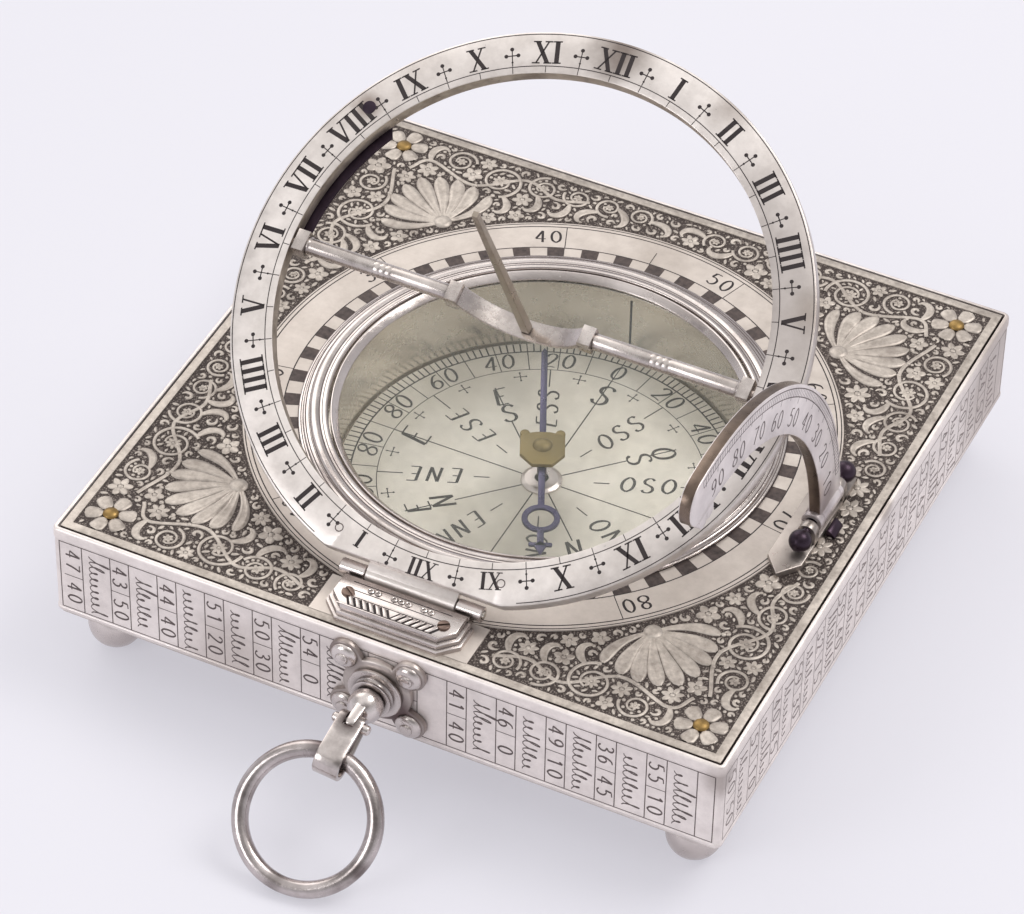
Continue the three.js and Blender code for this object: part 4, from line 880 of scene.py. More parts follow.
rose = Form()
CARD_Z = -10.795
for radius in (24.4, 20.9, 24.3):
    flat_stroke(rose, arc_path(radius, 0, 360), 0.12, CARD_Z)
for k in range(180):
    long = k % 5 == 0
    flat_stroke(rose, spoke(20.9 if long else 24.3, 25.9, math.radians(2 * k)), 0.14 if long else 0.2, CARD_Z)
for k in (*range(9), *range(10, 18)):
    value = min(20 * k, 360 - 20 * k)
    a = 90 - 20 * k
    ar = math.radians(a)
    write(rose, str(min(value, 180 - value)), 22.75 * math.cos(ar), 22.65 * math.sin(ar), 2.6, a - 90, 0.32, CARD_Z,
          gap=0.3, slant=0.15)
for k in range(16):
    spans = [(6.6, 8.6), (17.6, 20.9)] if k % 2 else ([(2.7, 11.6), (14.6, 18.2)] if k % 4 else [(2.7, 20.9)])
    for r0, r1 in spans:
        flat_stroke(rose, spoke(r0, r1, math.radians(90 - 22.5 * k)), 0.18, CARD_Z)
    tick = math.radians(90 - 22.5 * k + 11.25)
    cross = polar(19.6, tick)
    for t in (tick, tick + QUARTER):
        arm = spoke(-0.75, 0.75, t, cross)
        flat_stroke(rose, arm, 0.14, CARD_Z)
        for end in arm:
            dot(rose, *end, 0.15, CARD_Z)
letters = {0: "S", 2: "SO", 4: "O", 6: "NO", 8: "N", 10: "NE", 12: "E", 14: "SE",
           1: "SSO", 3: "OSO", 5: "ONO", 7: "NNO", 9: "NNE", 11: "ENE", 13: "ESE", 15: "SSE"}
for k, text in letters.items():
    a = 90 - 22.5 * k
    ar = math.radians(a)
    if k % 4 == 0:
        write(rose, text, *polar(17.9, ar), 3.6, a - 90, 0.46, CARD_Z + 0.002, slant=0.15)
    elif k % 2 == 0:
        for n, char in enumerate(text):
            r = 13.1 if n == 0 else 16.4
            write(rose, char, *polar(r, ar), 3.0, a - 90, 0.4, CARD_Z + 0.002, slant=0.15)
    else:
        for n, char in enumerate(text):
            r = 15.9 - 2.6 * n
            write(rose, char, *polar(r, ar), 2.6, a, 0.36, CARD_Z + 0.002, slant=0.2)
piece("card_engraving", rose, PLATE, [CARD_INK], "case")

meridian = Form()
flat_stroke(meridian, [(-1.2, 0), (-10.7, 0)], 0.3, 0)
piece("meridian_line", meridian, PLATE @ shift(0, 26.27, 0) @ OUTWARD @ spin(90, "Z"), [INK], "case")

needle = Form()
NEEDLE_LOW, NEEDLE_TOP, NEEDLE_HALF = -5.7, -5.35, 0.425
STAR = spin(24.8, "Z")


def flat_ring(outer, inner, down=0.0, centre=(0, 0)):
    ease = 0.06
    low, high = NEEDLE_LOW - down, NEEDLE_TOP - down
    section = ((inner, low), (outer, low), (outer, high - ease), (outer - ease, high), (inner + ease, high),
               (inner, high - ease))
    loft(needle, [circle(radius, height, 48, centre) for radius, height in section], ring=True, at=STAR)


flat_ring(2.5, 1.85)
flat_ring(2.4, 1.65, 0.001, (0, -12.5))
for outline in (
        [(-NEEDLE_HALF, 2.1), (NEEDLE_HALF, 2.1), (NEEDLE_HALF, 18.2), (0, 19.1), (-NEEDLE_HALF, 18.2)],
        [(-NEEDLE_HALF, -10.3), (NEEDLE_HALF, -10.3), (NEEDLE_HALF, -2.1), (-NEEDLE_HALF, -2.1)],
        [(-NEEDLE_HALF, -17.4), (NEEDLE_HALF, -17.4), (NEEDLE_HALF, -14.6), (-NEEDLE_HALF, -14.6)],
        [(-1.4, -17.5), (1.4, -17.5), (1.5, -17.2), (1.4, -16.9), (-1.4, -16.9), (-1.5, -17.2)],
        [(-0.85, -17.3), (0, -19.1), (0.85, -17.3), (0, -16.6)]):
    slab(needle, outline, NEEDLE_LOW + 0.002, NEEDLE_TOP - 0.002, 0.08, at=STAR)
piece("needle", needle, PLATE, [BLUE], "needle", ["compass_needle"], crease=30)
cap = Form()
shape = [(-0.45, -1), (0.45, -1), (1, -0.45), (1, 0.5), (0.8, 0.62), (0.3, 0.72), (-0.3, 0.72), (-0.8, 0.62),
         (-1, 0.5), (-1, -0.45)]
slab(cap, [(x * 2.85, y * 3.5) for x, y in shape], -5.35, -4.75, 0.12, at=STAR)
for s in (-1, 1):
    slab(cap, [polar(0.62, t, (s * 2.25, 2.3)) for t in np.linspace(0, TAU, 20)[:-1]],
         -5.34, -4.752, 0.12, at=STAR)
lathe(cap, [(0, -6.4), (1.55, -6.4), (1.55, -4.9), (1.25, -4.75), (1.18, -4.6), (0.85, -4.32), (0.4, -4.18),
            (0, -4.15)], 40, at=STAR)
piece("needle_cap_turned", cap, PLATE, [BRASS], "needle", ["needle_cap"])

turned("pane", [(0, -0.45), (26.55, -0.45), (26.6, -0.4), (26.6, 0.4), (26.55, 0.45), (0, 0.45)], 160, GLASS,
       "compass_glass")
turned("keeper", [(25.6, 0.46), (26.58, 0.46), (26.6, 0.6), (26.6, 1.3), (26.55, 1.35), (26.42, 1.35), (26.3, 1.28),
                  (25.66, 0.66), (25.6, 0.6)], 192, PLAIN, "glass_retaining_ring", ring=True, crease=50)
turned("bezel_moulding", [
    (30.6, 0), (30.6, 0.28), (30.52, 0.36), (30.3, 0.38), (30.1, 0.42), (30.02, 0.52), (30.0, 0.66), (29.9, 0.76),
    (29.6, 0.8), (29.35, 0.84), (29.2, 0.92), (29.12, 1.15), (29.02, 1.32), (28.8, 1.42), (28.55, 1.45),
    (28.3, 1.43), (28.12, 1.36), (28.0, 1.33), (27.75, 1.35), (27.6, 1.38), (27.4, 1.45), (27.2, 1.45),
    (27.02, 1.42), (26.93, 1.34), (26.9, 1.2), (26.9, 0)], 192, PLAIN, "bezel", ring=True, crease=40)
# Dark lines in the hollows of the bezel's moulding: painted shade in its grooves
groove_shade = Form()
for radius, height, width in ((30.58, 0.31, 0.1), (30.28, 0.39, 0.16), (29.72, 0.8, 0.16), (29.28, 0.89, 0.12),
                              (28.02, 1.34, 0.22), (27.62, 1.39, 0.12), (27.0, 1.41, 0.14)):
    flat_stroke(groove_shade, arc_path(radius, 0, 360), width, height)
piece("bezel_grooves", groove_shade, PLATE, [LINE], "case")

# Hour ring
ring = Form()
TURN = 360


def ring_loop(radius, height, chord=None):
    pts = []
    for i in range(TURN):
        t = TAU * i / TURN
        r = radius
        if chord and math.sin(t) < -0.2:
            r = min(r, chord / -math.sin(t))
        pts.append((*polar(r, t), height))
    return pts


CHORD = RING_PITCH - 1.3
loft(ring, [ring_loop(*edge) for edge in (
    (31, 0.2), (36.15, 0.2, CHORD - 0.1), (36.32, 0.3, CHORD), (36.4, 0.5, CHORD), (36.4, 2.1, CHORD),
    (36.33, 2.28, CHORD), (36.1, 2.4, CHORD - 0.12), (31.12, 2.4), (31.02, 2.36), (31, 2.26))], ring=True)
NOTCH = shift(0, -RING_PITCH, 0)
brick(ring, -6, 6, 0.2, 2.8, 0.2, 1.0, 0.05, at=NOTCH)
lathe(ring, [(0.6, -6), (0.92, -6), (1, -5.92), (1, 5.92), (0.92, 6), (0.6, 6)], 48, at=NOTCH @ TO_X, ring=True)
# The inner wall takes the darker copy of the silver, painted shade
ring.mats[9 * TURN:10 * TURN] = [1] * TURN
piece("dial_ring", ring, DIAL, [FACE, DIAL_WALL], "hour_ring", ["hour_ring"])

dial = Form()
DIAL_Z = 2.405
for radius, start, end in ((31.9, 0, 360), (36.05, -68, 248)):
    flat_stroke(dial, arc_path(radius, start, end, 1.5), 0.12, DIAL_Z)
PHASE = 91.6
# Each numeral's advance, strokes (from x, y to x, y, width), half serif and serifs (x, 1 at the top)
NUMERALS = {"I": (0.4, [(0, 0, 0, 1, 0.2)], 0.19, [(0, 0), (0, 1)]),
            "V": (0.84, [(-0.25, 1, 0.02, 0, 0.2), (0.3, 1, 0.05, 0, 0.08)], 0.17, [(-0.25, 1), (0.3, 1)]),
            "X": (0.86, [(-0.25, 1, 0.25, 0, 0.2), (0.26, 1, -0.26, 0, 0.08)], 0.17,
                  [(-0.25, 0), (-0.25, 1), (0.25, 0), (0.25, 1)])}


def roman(form, text, radius, angle, size):
    """Roman numeral with its top outward at an angle of the dial."""
    turn = math.radians(angle - 90)
    c, s = math.cos(turn), math.sin(turn)

    def bar(x0, y0, x1, y1, half):
        corners = [(x0 - half, y0), (x0 + half, y0), (x1 + half, y1), (x1 - half, y1)]
        patch(form, [(x * c - (y + radius) * s, x * s + (y + radius) * c) for x, y in corners], DIAL_Z + 0.004)

    left = -sum(NUMERALS[char][0] * size for char in text) / 2
    foot = 0.06 * size
    for char in text:
        advance, strokes, serif, ends = NUMERALS[char]
        mid = left + advance * size / 2
        for x0, y0, x1, y1, wide in strokes:
            bar(mid + x0 * size, y0 * size, mid + x1 * size, y1 * size, wide * size / 2)
        for x, top in ends:
            y = top * (size - foot)
            bar(mid + x * size, y, mid + x * size, y + foot, serif * size)
        left += advance * size


def spot(angle, radius, aside):
    """Point of the dial at a radius and a distance across it."""
    c, s = math.cos(angle), math.sin(angle)
    return c * radius - s * aside, s * radius + c * aside


HOURS = ["XII", "I", "II", "III", "IIII", "V", "VI", "VII", "VIII", "IX", "X", "XI"]
for k in range(24):
    angle = PHASE - 15 * k
    roman(dial, HOURS[k % 12], 32.2, angle, 2.95 if abs(k - 12) > 1 else 2.2)
    half_hour = math.radians(angle - 7.5)
    for t in (math.radians(angle), half_hour):
        flat_stroke(dial, spoke(31.05, 31.9, t), 0.1, DIAL_Z)
    flat_stroke(dial, spoke(32.0, 34.05, half_hour), 0.13, DIAL_Z)
    flat_stroke(dial, [spot(half_hour, 33.4, aside) for aside in (-0.66, 0.66)], 0.15, DIAL_Z)
    for radius, aside, size in ((34.25, 0, 0.26), (33.4, -0.76, 0.26), (33.4, 0.76, 0.26), (32.55, 0, 0.14)):
        dot(dial, *spot(half_hour, radius, aside), size, DIAL_Z + 0.002)
piece("dial_engraving", dial, DIAL, [INK], "hour_ring")
plugs = Form()
for x, y in ((-10.8, -31.9), (10.8, -31.8)):
    lathe(plugs, [(0.42, 2.41), (0.5, 2.415), (0.56, 2.41)], 24, at=shift(x, y, 0), ring=True)
piece("ring_plugs", plugs, DIAL, [LINE], "hour_ring")

spring = Form()
edge_in = arc_path(30.0, 146.5, 180 - math.degrees(math.asin(1.8 / 30.0)), 1.2)
edge_out = arc_path(32.8, 180 - math.degrees(math.asin(1.8 / 32.8)), 146.5, 1.2)
edge_out *= 1 + (35.3 / 32.8 - 1) * np.linspace(0, 1, len(edge_out))[:, None]
slab(spring, np.concatenate([edge_out, [polar(35.3, math.radians(141.2))], edge_in]), -0.4, -0.1, 0.06)
piece("leaf_spring", spring, DIAL, [STEEL], "hour_ring", ["ring_spring"])
rivet = Form()
lathe(rivet, [(0, -1.05), (0.6, -1.02), (1.1, -0.92), (1.3, -0.75), (1.3, -0.7), (0.85, -0.7), (0.85, 2.42),
              (0.8, 2.44), (0, 2.45)], 36, at=shift(*polar(34, math.radians(146.5)), 0))
piece("rivet", rivet, DIAL, [STEEL], "hour_ring", ["spring_rivet"])

# Bridge and gnomon
bridge = Form()
for s in (-1, 1):
    for x0, x1, w in ((29.0, 30.6, 2.8), (8.1, 9.8, 2.6)):
        a, b = sorted((s * x0, s * x1))
        brick(bridge, a, b, -w / 2, w / 2, -w / 2, w / 2, 0.16)
    rounds = [(r, z + dz) for z in (17.4, 18.2, 19.0, 19.8) for r, dz in ((1.05, -0.1), (1.01, 0), (1.05, 0.1))]
    lathe(bridge, [(1.0, 9.7), (1.05, 9.9)] + rounds + [(1.05, 28.6), (1.2, 28.8), (1.2, 29.1)], 40,
          at=TO_X if s > 0 else TO_X @ spin(180, "X"))
radius = (8.1 ** 2 + 4 ** 2) / 8
lift = radius - 4
spread = math.acos(lift / radius)
section = ((-0.3, -1.22), (-0.2, -1.3), (0.2, -1.3), (0.3, -1.22), (0.3, 1.22), (0.2, 1.3), (-0.2, 1.3), (-0.3, 1.22))
loft(bridge, [[((radius + r) * math.cos(t), y, lift + (radius + r) * math.sin(t)) for r, y in section]
              for t in np.linspace(-QUARTER - spread * 1.04, -QUARTER + spread * 1.04, 41)])
piece("bridge_bars", bridge, BARS, [BARS_SILVER], "gnomon", ["gnomon_bridge"])
pin = Form()
loft(pin, [[(x, y, z) for x, y in rounded_rect(-half, half, -half, half, 0.1, 3)]
           for half, z in ((0.575, -3.4), (0.575, -3.2), (0.4, 29.2), (0.34, 29.4))])
lathe(pin, [(0.4, -5.1), (0.4, -3.3)], 20)
piece("pin", pin, BARS, [ROD], "gnomon", ["gnomon_pin"])

# Hinge
block = Form()
CUT = 2.2
HINGE_FRONT, HINGE_REAR = -43.6, -37.9
for low, high, inset in ((0, 0.7, 0), (0.7, 1.4, 0.35), (1.4, 2.3, 0.8)):
    wide = 9.05 - inset
    shoulder, front = HINGE_FRONT + CUT + inset / 2, HINGE_FRONT + inset
    nose = wide - CUT + inset / 2
    slab(block, [(-wide, HINGE_REAR), (-wide, shoulder), (-nose, front), (nose, front), (wide, shoulder),
                 (wide, HINGE_REAR)], low - 0.001, high, 0.14, under=0)
for s in (-1, 1):
    x0, x1 = sorted((s * 6.15, s * 9.5))
    brick(block, max(x0, -8.25), min(x1, 8.25), -38.4, -36.3, 0, 1.7, 0.1)
    lathe(block, [(0.6, x0), (0.92, x0), (1, x0 + 0.08), (1, x1 - 0.08), (0.92, x1), (0.6, x1)], 48,
          at=TILT_AXIS @ TO_X, ring=True)
for s in (-1, 1):
    for k in range(6):
        x, lean = s * (0.45 + 0.9 * k), s * 0.85
        leaf = [(x - 0.3, -42.56), (x + 0.3, -42.56), (x + 0.3 + lean, -41.2), (x - 0.3 + lean, -41.2)]
        slab(block, leaf, 2.26, 2.46, 0.1)
for x, count in ((-3.5, 2), (0.1, 3), (3.6, 2)):
    for k in range(count):
        lathe(block, [(0.14, 2.34), (0.2, 2.46), (0.3, 2.5), (0.4, 2.44), (0.44, 2.28)], 20,
              at=shift(x + 0.95 * (k - (count - 1) / 2), -39.35, 0))
brick(block, -5.5, 5.5, -41.08, -40.9, 2.28, 2.4, 0.05)
brick(block, -6.9, 6.9, -42.8, -42.64, 2.28, 2.4, 0.05)
piece("hinge_body", block, PLATE, [PLAIN], "case", ["hinge_block"])
marks = Form()
MARK_Z = 2.305
for y in (-40.0, -38.7):
    flat_stroke(marks, [(-6.6, y), (6.6, y)], 0.14, MARK_Z)
for s in (-1, 1):
    for k in range(7):
        x = s * 0.9 * k
        flat_stroke(marks, [(x, -42.56), (x + s * 0.85, -41.2)], 0.3, MARK_Z)
piece("hinge_engraving", marks, PLATE, [INK], "case")
pivot = Form()
lathe(pivot, [(0, -9.7), (0.38, -9.7), (0.45, -9.6), (0.45, 9.6), (0.38, 9.7), (0, 9.7)], 28,
      at=TILT_AXIS @ TO_X)
piece("hinge_rod", pivot, PLATE, [BOWL], "case", ["hinge_pin"])
for name, s in (("left", -1), ("right", 1)):
    head = Form()
    for half in (-1, 1):
        outline = [polar(0.78, t) for t in np.linspace(half * QUARTER - 1.4, half * QUARTER + 1.4, 14)]
        slab(head, outline, -0.05, 0.34, 0.1)
    lathe(head, [(0, -4.7), (0.4, -4.7), (0.4, 0.0), (0.8, 0.0), (0.8, 0.1), (0.6, 0.16), (0, 0.16)], 32)
    piece(f"hinge_head_{name}", head, PLATE @ shift(s * 6.4, -40.7, 2.3) @ spin(35 * s, "Z"), [SCREW], "case",
          [f"hinge_screw_{name}"])

# Latitude quadrant
SIDE = Matrix(((0, 0, 1, 0), (1, 0, 0, 0), (0, 1, 0, 0), (0, 0, 0, 1)))
quadrant = Form()
centre = (-36.3, 1.7 - 2.6)
OUT, IN = 38.2, 32.1
END = math.radians(97)
tip_at = polar((OUT + IN) / 2, END, centre)
outline = np.concatenate([
    arc_path(OUT, 2, 97, 1.5, centre),
    arc_path((OUT - IN) / 2, 97, 277, 12, tip_at)[1:-1],
    arc_path(IN, 97, 2, 1.5, centre)])
FACE_X, BACK_X = 0.9, -0.7
slab(quadrant, outline, BACK_X, FACE_X, 0.14, at=SIDE)
EDGE = len(outline)
quadrant.mats[2 * EDGE:3 * EDGE] = [1] * EDGE
for share in (0.2, 1.8):
    tab = polar(IN - 1.4 / 3, END - share * 1.1 / IN, centre)
    slab(quadrant, [polar(1.1, t, tab) for t in np.linspace(0, TAU, 25)[:-1]], BACK_X + 0.005, FACE_X - 0.005, 0.12,
         at=SIDE)
lathe(quadrant, [(0.8, -4.9), (1.3, -4.9), (1.4, -4.8), (1.4, -4.1), (1.3, -4.0), (1.3, -3.8), (1.4, -3.7), (1.4, 0.8),
                 (1.3, 0.9), (1.3, 1.1), (1.4, 1.2), (1.4, 1.85), (1.3, 1.9), (0.8, 1.9)], 48, at=TO_Y, ring=True)
piece("quadrant_plate", quadrant, ARC, [QUAD, RIM], "quadrant", ["latitude_quadrant"])
scale = Form()
for side_x, turn, flip in ((FACE_X + 0.005, 0, 1), (BACK_X - 0.005, 180, -1)):
    # The inner side is turned half round, so its figures read from that side
    marks_at = SIDE @ shift(0, 0, side_x) @ spin(turn, "Y")

    def mark(path, width):
        flat_stroke(scale, [(flip * x, y) for x, y in path], width, 0, at=marks_at)

    for r in (37.75, 36.7):
        mark(arc_path(r, 8, 96, 1.5, centre), 0.13)
    for degree in range(8, 97):
        a = math.radians(degree)
        mark(spoke(36.7 if degree % 5 else (36.3 if degree % 10 else 35.9), 37.75, a, centre), 0.11)
        if degree % 10 == 0:
            x, y = polar(34.2, a, centre)
            write(scale, str(degree), flip * x, y, 2.2, flip * (degree - 90), 0.27, 0, at=marks_at, gap=0.3)
piece("quadrant_scale", scale, ARC, [LINE], "quadrant")
base = Form()
slab(base, [(35.2, -10.4), (37.45, -13.1), (39.7, -10.4), (39.7, 6.9), (35.2, 6.9)], -0.16, 0.8, 0.14)
for y0, y1 in ((-6.5, -5.2), (2.2, 3.5)):
    ear = [(37.3, 0.2), (39.7, 0.2)] + [polar(1.2, t, (38.5, 2.25)) for t in np.linspace(0, math.pi, 13)]
    slab(base, ear, -y1, -y0, 0.1, at=OUTWARD)
piece("quadrant_foot_plate", base, PLATE, [FOOT], "case", ["quadrant_base"])
rod = Form()
BALL = 1.44
ball = [polar(BALL, t) for t in np.linspace(-QUARTER + 0.05, QUARTER - 0.42, 16)]
front_end, back_end = -6.9 - BALL, 3.9 + BALL
lathe(rod, [(0, front_end - BALL)] + [(r, front_end + z) for r, z in ball]
      + [(0.6, front_end + BALL), (0.6, back_end - BALL)] + [(r, back_end - z) for r, z in ball[::-1]]
      + [(0, back_end + BALL)], 40, at=FOLD_AXIS @ TO_Y)
piece("quadrant_rod", rod, PLATE, [STEEL], "case", ["quadrant_pin"])
catch = Form()
slab(catch, [(40.0, 0), (41.2, 0), (41.15, 0.2), (40.45, 0.86), (40.2, 0.9), (40.0, 0.85)], 1.0, 3.6, 0.06,
     at=OUTWARD)
piece("quadrant_leaf", catch, PLATE, [STEEL], "case", ["quadrant_spring"])

# Suspension
# These forms are drawn in the wall's own plane, X along it and Y up, and face outward
hanger = Form()
LOBE_X, LOBE_Z = 4.3, 4.1
lobes = [(sx * LOBE_X, sz * LOBE_Z, 2.1) for sx in (-1, 1) for sz in (-1, 1)] + [(0, 0, 4.6)]
outline = []
for i in range(240):
    t = TAU * i / 240
    c, s = math.cos(t), math.sin(t)
    # A cross of two rectangles, and the lobes where they reach beyond it
    reach = max(min(x / max(abs(c), 1e-6), y / max(abs(s), 1e-6)) for x, y in ((LOBE_X, 3.6), (3.6, LOBE_Z)))
    for x, y, r in lobes:
        along = x * c + y * s
        gap = r * r - (x * x + y * y - along * along)
        if gap > 0:
            reach = max(reach, along + math.sqrt(gap))
    outline.append((reach * c, reach * s))
slab(hanger, outline, 0, 0.8, 0.2, under=0)
piece("hanger_plate", hanger, WALL @ OUTWARD, [HANGER], "case", ["suspension_plate"], crease=50)
for name, sx, sz in (("upper_left", -1, 1), ("upper_right", 1, 1), ("lower_right", 1, -1), ("lower_left", -1, -1)):
    stud = Form()
    lathe(stud, [(0, -2.2), (0.6, -2.2), (0.6, 0.8), (1.7, 0.8), (1.75, 0.86), (1.72, 1.0), (1.62, 1.17), (1.4, 1.36),
                 (1.1, 1.5), (0.82, 1.55), (0.8, 1.66), (0.7, 1.78), (0.45, 1.84), (0, 1.85)], 48)
    piece(f"hanger_stud_{name}", stud, WALL @ shift(sx * LOBE_X, 0, sz * LOBE_Z) @ OUTWARD, [PLAIN], "case",
          [f"suspension_stud_{name}"])
knob = Form()
lathe(knob, [(0, -4.0), (0.9, -4.0), (0.9, 1.1), (3.45, 1.1), (3.6, 1.18), (3.6, 1.42), (3.5, 1.55), (3.3, 1.6),
             (2.62, 1.6), (2.5, 1.72), (2.42, 2.0), (2.5, 2.26), (2.6, 2.34), (2.5, 2.4), (1.82, 2.42)]
      + [polar(2.2, t, (0, 3.636)) for t in np.linspace(-0.59, QUARTER - 0.05, 20)], 72)
nose = [(-3.7, -0.55), (-3.7, 1.55)] + [polar(1.05, t, (-7.45, 0.5)) for t in np.linspace(QUARTER, 3 * QUARTER, 13)]
slab(knob, [(-x, z) for x, z in nose][::-1], -0.6, 0.6, 0.12,
     at=Matrix(((0, 0, 1, 0), (0, 1, 0, 0), (1, 0, 0, 0), (0, 0, 0, 1))))
piece("knob", knob, SWIVEL @ OUTWARD, [PLAIN], "swivel", ["swivel_knob"])
small = Form()
lathe(small, [(0, -2.5), (0.35, -2.5), (0.6, -2.3), (0.65, -2.1), (0.65, 2.1), (0.6, 2.3), (0.35, 2.5), (0, 2.5)], 32,
      at=TO_X)
piece("shackle_rod", small, SWING, [PLAIN], "swivel", ["shackle_pin"])

strap = Form()
NEAR, FAR, THICK, LENGTH, WIDE, NEAR_COUNT = 1.3, 2.15, 0.6, 7.1, 3.3, 17
STRAP_DROP, RING_DROP, SEAT = 25, 46, 4.25
LOOP_RADIUS, WIRE = 8.37, 1.09
far = LENGTH - FAR
slope = math.asin((FAR - NEAR) / far)


def strap_loop(inset):
    near = [polar(NEAR - inset, t) for t in np.linspace(-QUARTER + slope, QUARTER - slope, NEAR_COUNT)]
    return near + [polar(FAR - inset, t, (-far, 0)) for t in np.linspace(QUARTER - slope, 3 * QUARTER + slope, 31)]


outer, inner = (np.array(strap_loop(inset)) for inset in (0, THICK))
SLOT_HALF, SLOT_FROM = 0.68, 0.2


def strip_between(x0, x1, ease0, ease1, opened=False):
    """Part of the strap between two planes, whole round or open at its near end."""
    pairs = list(zip(outer, inner))
    if opened:
        up = [a + (b - a) * SLOT_FROM for a, b in zip(pairs[NEAR_COUNT - 1], pairs[NEAR_COUNT])]
        down = [a + (b - a) * SLOT_FROM for a, b in zip(pairs[0], pairs[-1])]
        pairs = [up] + pairs[NEAR_COUNT:] + [down]
    loops = []
    for o, i in pairs:
        start = [(0.0, x0 + ease0), (ease0 / 2, x0), (THICK - ease0 / 2, x0), (THICK, x0 + ease0)]
        end = [(THICK, x1 - ease1), (THICK - ease1 / 2, x1), (ease1 / 2, x1), (0.0, x1 - ease1)]
        section = (start if ease0 else [(0.0, x0), (THICK, x0)]) + (end if ease1 else [(THICK, x1), (0.0, x1)])
        loops.append([(x, *(o + (i - o) * depth / THICK)) for depth, x in section])
    loft(strap, loops, ring=not opened)


SEAM = 0.004
strip_between(-WIDE / 2, -SLOT_HALF, 0.14, 0)
strip_between(SLOT_HALF, WIDE / 2, 0, 0.14)
strip_between(-SLOT_HALF - SEAM, SLOT_HALF + SEAM, 0, 0, opened=True)
piece("strap", strap, SWING @ spin(STRAP_DROP, "X"), [STRAP], "shackle", ["shackle"], crease=50)
loop = Form()
turns = [TAU * k / 128 for k in range(128)]
path = [(LOOP_RADIUS * math.cos(t), LOOP_RADIUS * (math.sin(t) - 1), 0) for t in turns]
radii = [WIRE - 0.04 * math.sin(3 * t) ** 2 for t in turns]
closed_tube(loop, path, radii, 24)
drop = math.radians(STRAP_DROP)
HANG = SWING @ shift(0, -SEAT * math.cos(drop), -SEAT * math.sin(drop)) @ spin(RING_DROP, "X")
piece("wire_ring", loop, HANG, [WIRED], "suspension_ring", ["suspension_ring"])

# CAD pieces that stay as they are, mostly hidden in the box
for name, mat in (("swivel_nut", BRASS), ("bridge_pivot_left", SILVER), ("bridge_pivot_right", SILVER),
                  *((f"corner_post_{name}", BRASS) for name in CORNER_NAMES)):
    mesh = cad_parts[name].data
    mesh.materials.clear()
    mesh.materials.append(mat)

# Floor, light and camera
REACH, FEET_Z, GAP = 3.0, -7.0885, 0.02
FLOOR_Z = (FEET_Z - GAP) * MM
floor_mesh = bpy.data.meshes.new("floor")
floor_mesh.from_pydata([(x * REACH, y * REACH, FLOOR_Z) for x, y in ((-1, -1), (1, -1), (1, 1), (-1, 1))], [],
                       [(0, 1, 2, 3)])
floor = bpy.data.objects.new("floor", floor_mesh)
bpy.context.scene.collection.objects.link(floor)
paper, tree, shader = material("floor_paper", Base_Color=linear((216, 215, 221)), Roughness=0.9,
                               Specular_IOR_Level=0.1)
# Rays from the camera, and those mirrored or passed on by a piece, see the backdrop's own paleness in half,
# which makes the shadows there half as strong
rays = node(tree, "LightPath").outputs
seen = worked(tree, "Math", "MAXIMUM", rays["Is Camera Ray"], rays["Is Glossy Ray"])[0]
passed = worked(tree, "Math", "MAXIMUM", seen, rays["Is Transmission Ray"])[0]
share = worked(tree, "Math", "MULTIPLY", passed, 0.5)[0]
glow = node(tree, "Emission", Color=linear((239, 237, 246)))
pale = node(tree, "MixShader", Fac=share)
tree.links.new(shader.outputs["BSDF"], pale.inputs[1])
tree.links.new(glow.outputs["Emission"], pale.inputs[2])
tree.links.new(pale.outputs["Shader"], tree.nodes["Material Output"].inputs["Surface"])
floor_mesh.materials.append(paper)

world = bpy.data.worlds.new("studio")
bpy.context.scene.world = world
world.use_nodes = True
tree = world.node_tree
toward = node(tree, "TexCoord").outputs["Generated"]
upward = node(tree, "SeparateXYZ", Vector=toward).outputs["Z"]
glow = ramp(tree, upward, (0.0, (0.8, 0.8, 0.85, 1)), (1.0, WHITE), (0.35, (0.62, 0.62, 0.65, 1)),
            (0.62, (0.45, 0.44, 0.44, 1)), (0.84, (1.06, 1.06, 1.06, 1)))
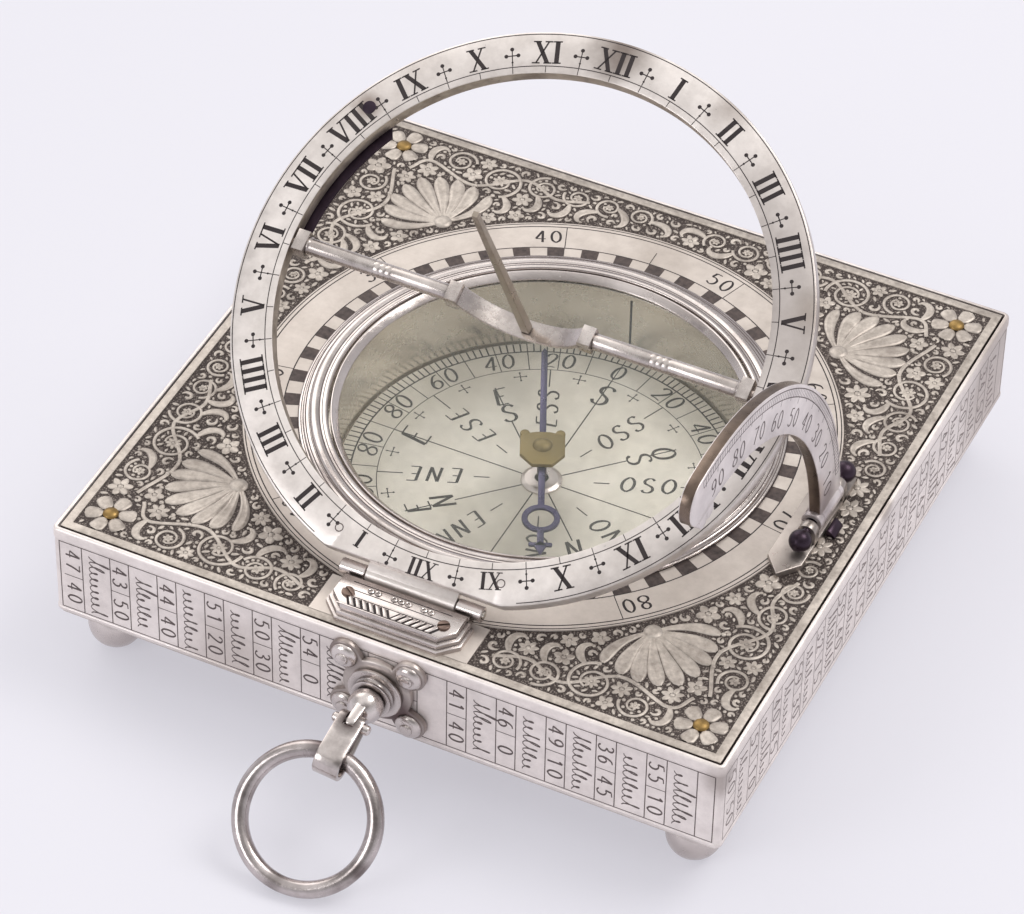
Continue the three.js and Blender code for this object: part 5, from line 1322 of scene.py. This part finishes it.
# The dark studio behind the viewpoint, which round metal mirrors, and a bright screen to the back left,
# which the plate mirrors along its left and front
for aim, low, high, strength, tone in (((0.31, -0.66, 0.68), 0.84, 0.99, 0.6, (0.1, 0.09, 0.09, 1)),
                                       ((-0.62, 0.5, 0.6), 0.87, 1.0, 1.0, (2.7, 2.64, 2.58, 1))):
    near = worked(tree, "VectorMath", "DOT_PRODUCT", toward, aim)["Value"]
    glow = mixed(tree, ranged(tree, near, low, high, 0.0, strength, "SMOOTHSTEP"), glow, tone)
tree.links.new(glow, tree.nodes["Background"].inputs["Color"])


def softbox(name, place, power, side, tint):
    light = bpy.data.lights.new(name, "AREA")
    light.shape = "RECTANGLE"
    light.size = side
    light.size_y = side
    light.energy = power
    light.color = tint
    obj = bpy.data.objects.new(name, light)
    bpy.context.scene.collection.objects.link(obj)
    obj.location = place
    obj.rotation_euler = (Vector((0, 0, 0.01)) - Vector(place)).to_track_quat("-Z", "Y").to_euler()


softbox("key", (0.36, 0.26, 0.7), 3.1, 0.42, (1, 0.985, 0.96))
softbox("front", (-0.45, -0.72, 0.42), 2.2, 0.4, (0.97, 0.98, 1))

camera_data = bpy.data.cameras.new("camera")
camera = bpy.data.objects.new("camera", camera_data)
bpy.context.scene.collection.objects.link(camera)
# Solved from the photo
az, el, roll = (math.radians(v) for v in (25.1102, 43.1016, 1.2558))
out = Vector((math.sin(az) * math.cos(el), -math.cos(az) * math.cos(el), math.sin(el)))
level = Vector((math.cos(az), math.sin(az), 0))
upward = out.cross(level)
across = math.cos(roll) * level + math.sin(roll) * upward
upright = -math.sin(roll) * level + math.cos(roll) * upward
DISTANCE, LEFT, DOWN = 0.61370, 0.003916, 0.004957
pose = Matrix((across, upright, out)).transposed().to_4x4()
pose.translation = Vector((0, 0, LIFT * MM)) + out * DISTANCE - across * LEFT - upright * DOWN
camera.matrix_world = pose
camera_data.lens = 172.55
camera_data.sensor_width = 36
camera_data.sensor_fit = "HORIZONTAL"
camera_data.clip_start = 0.01
bpy.context.scene.camera = camera
bpy.context.scene.view_settings.view_transform = "Standard"
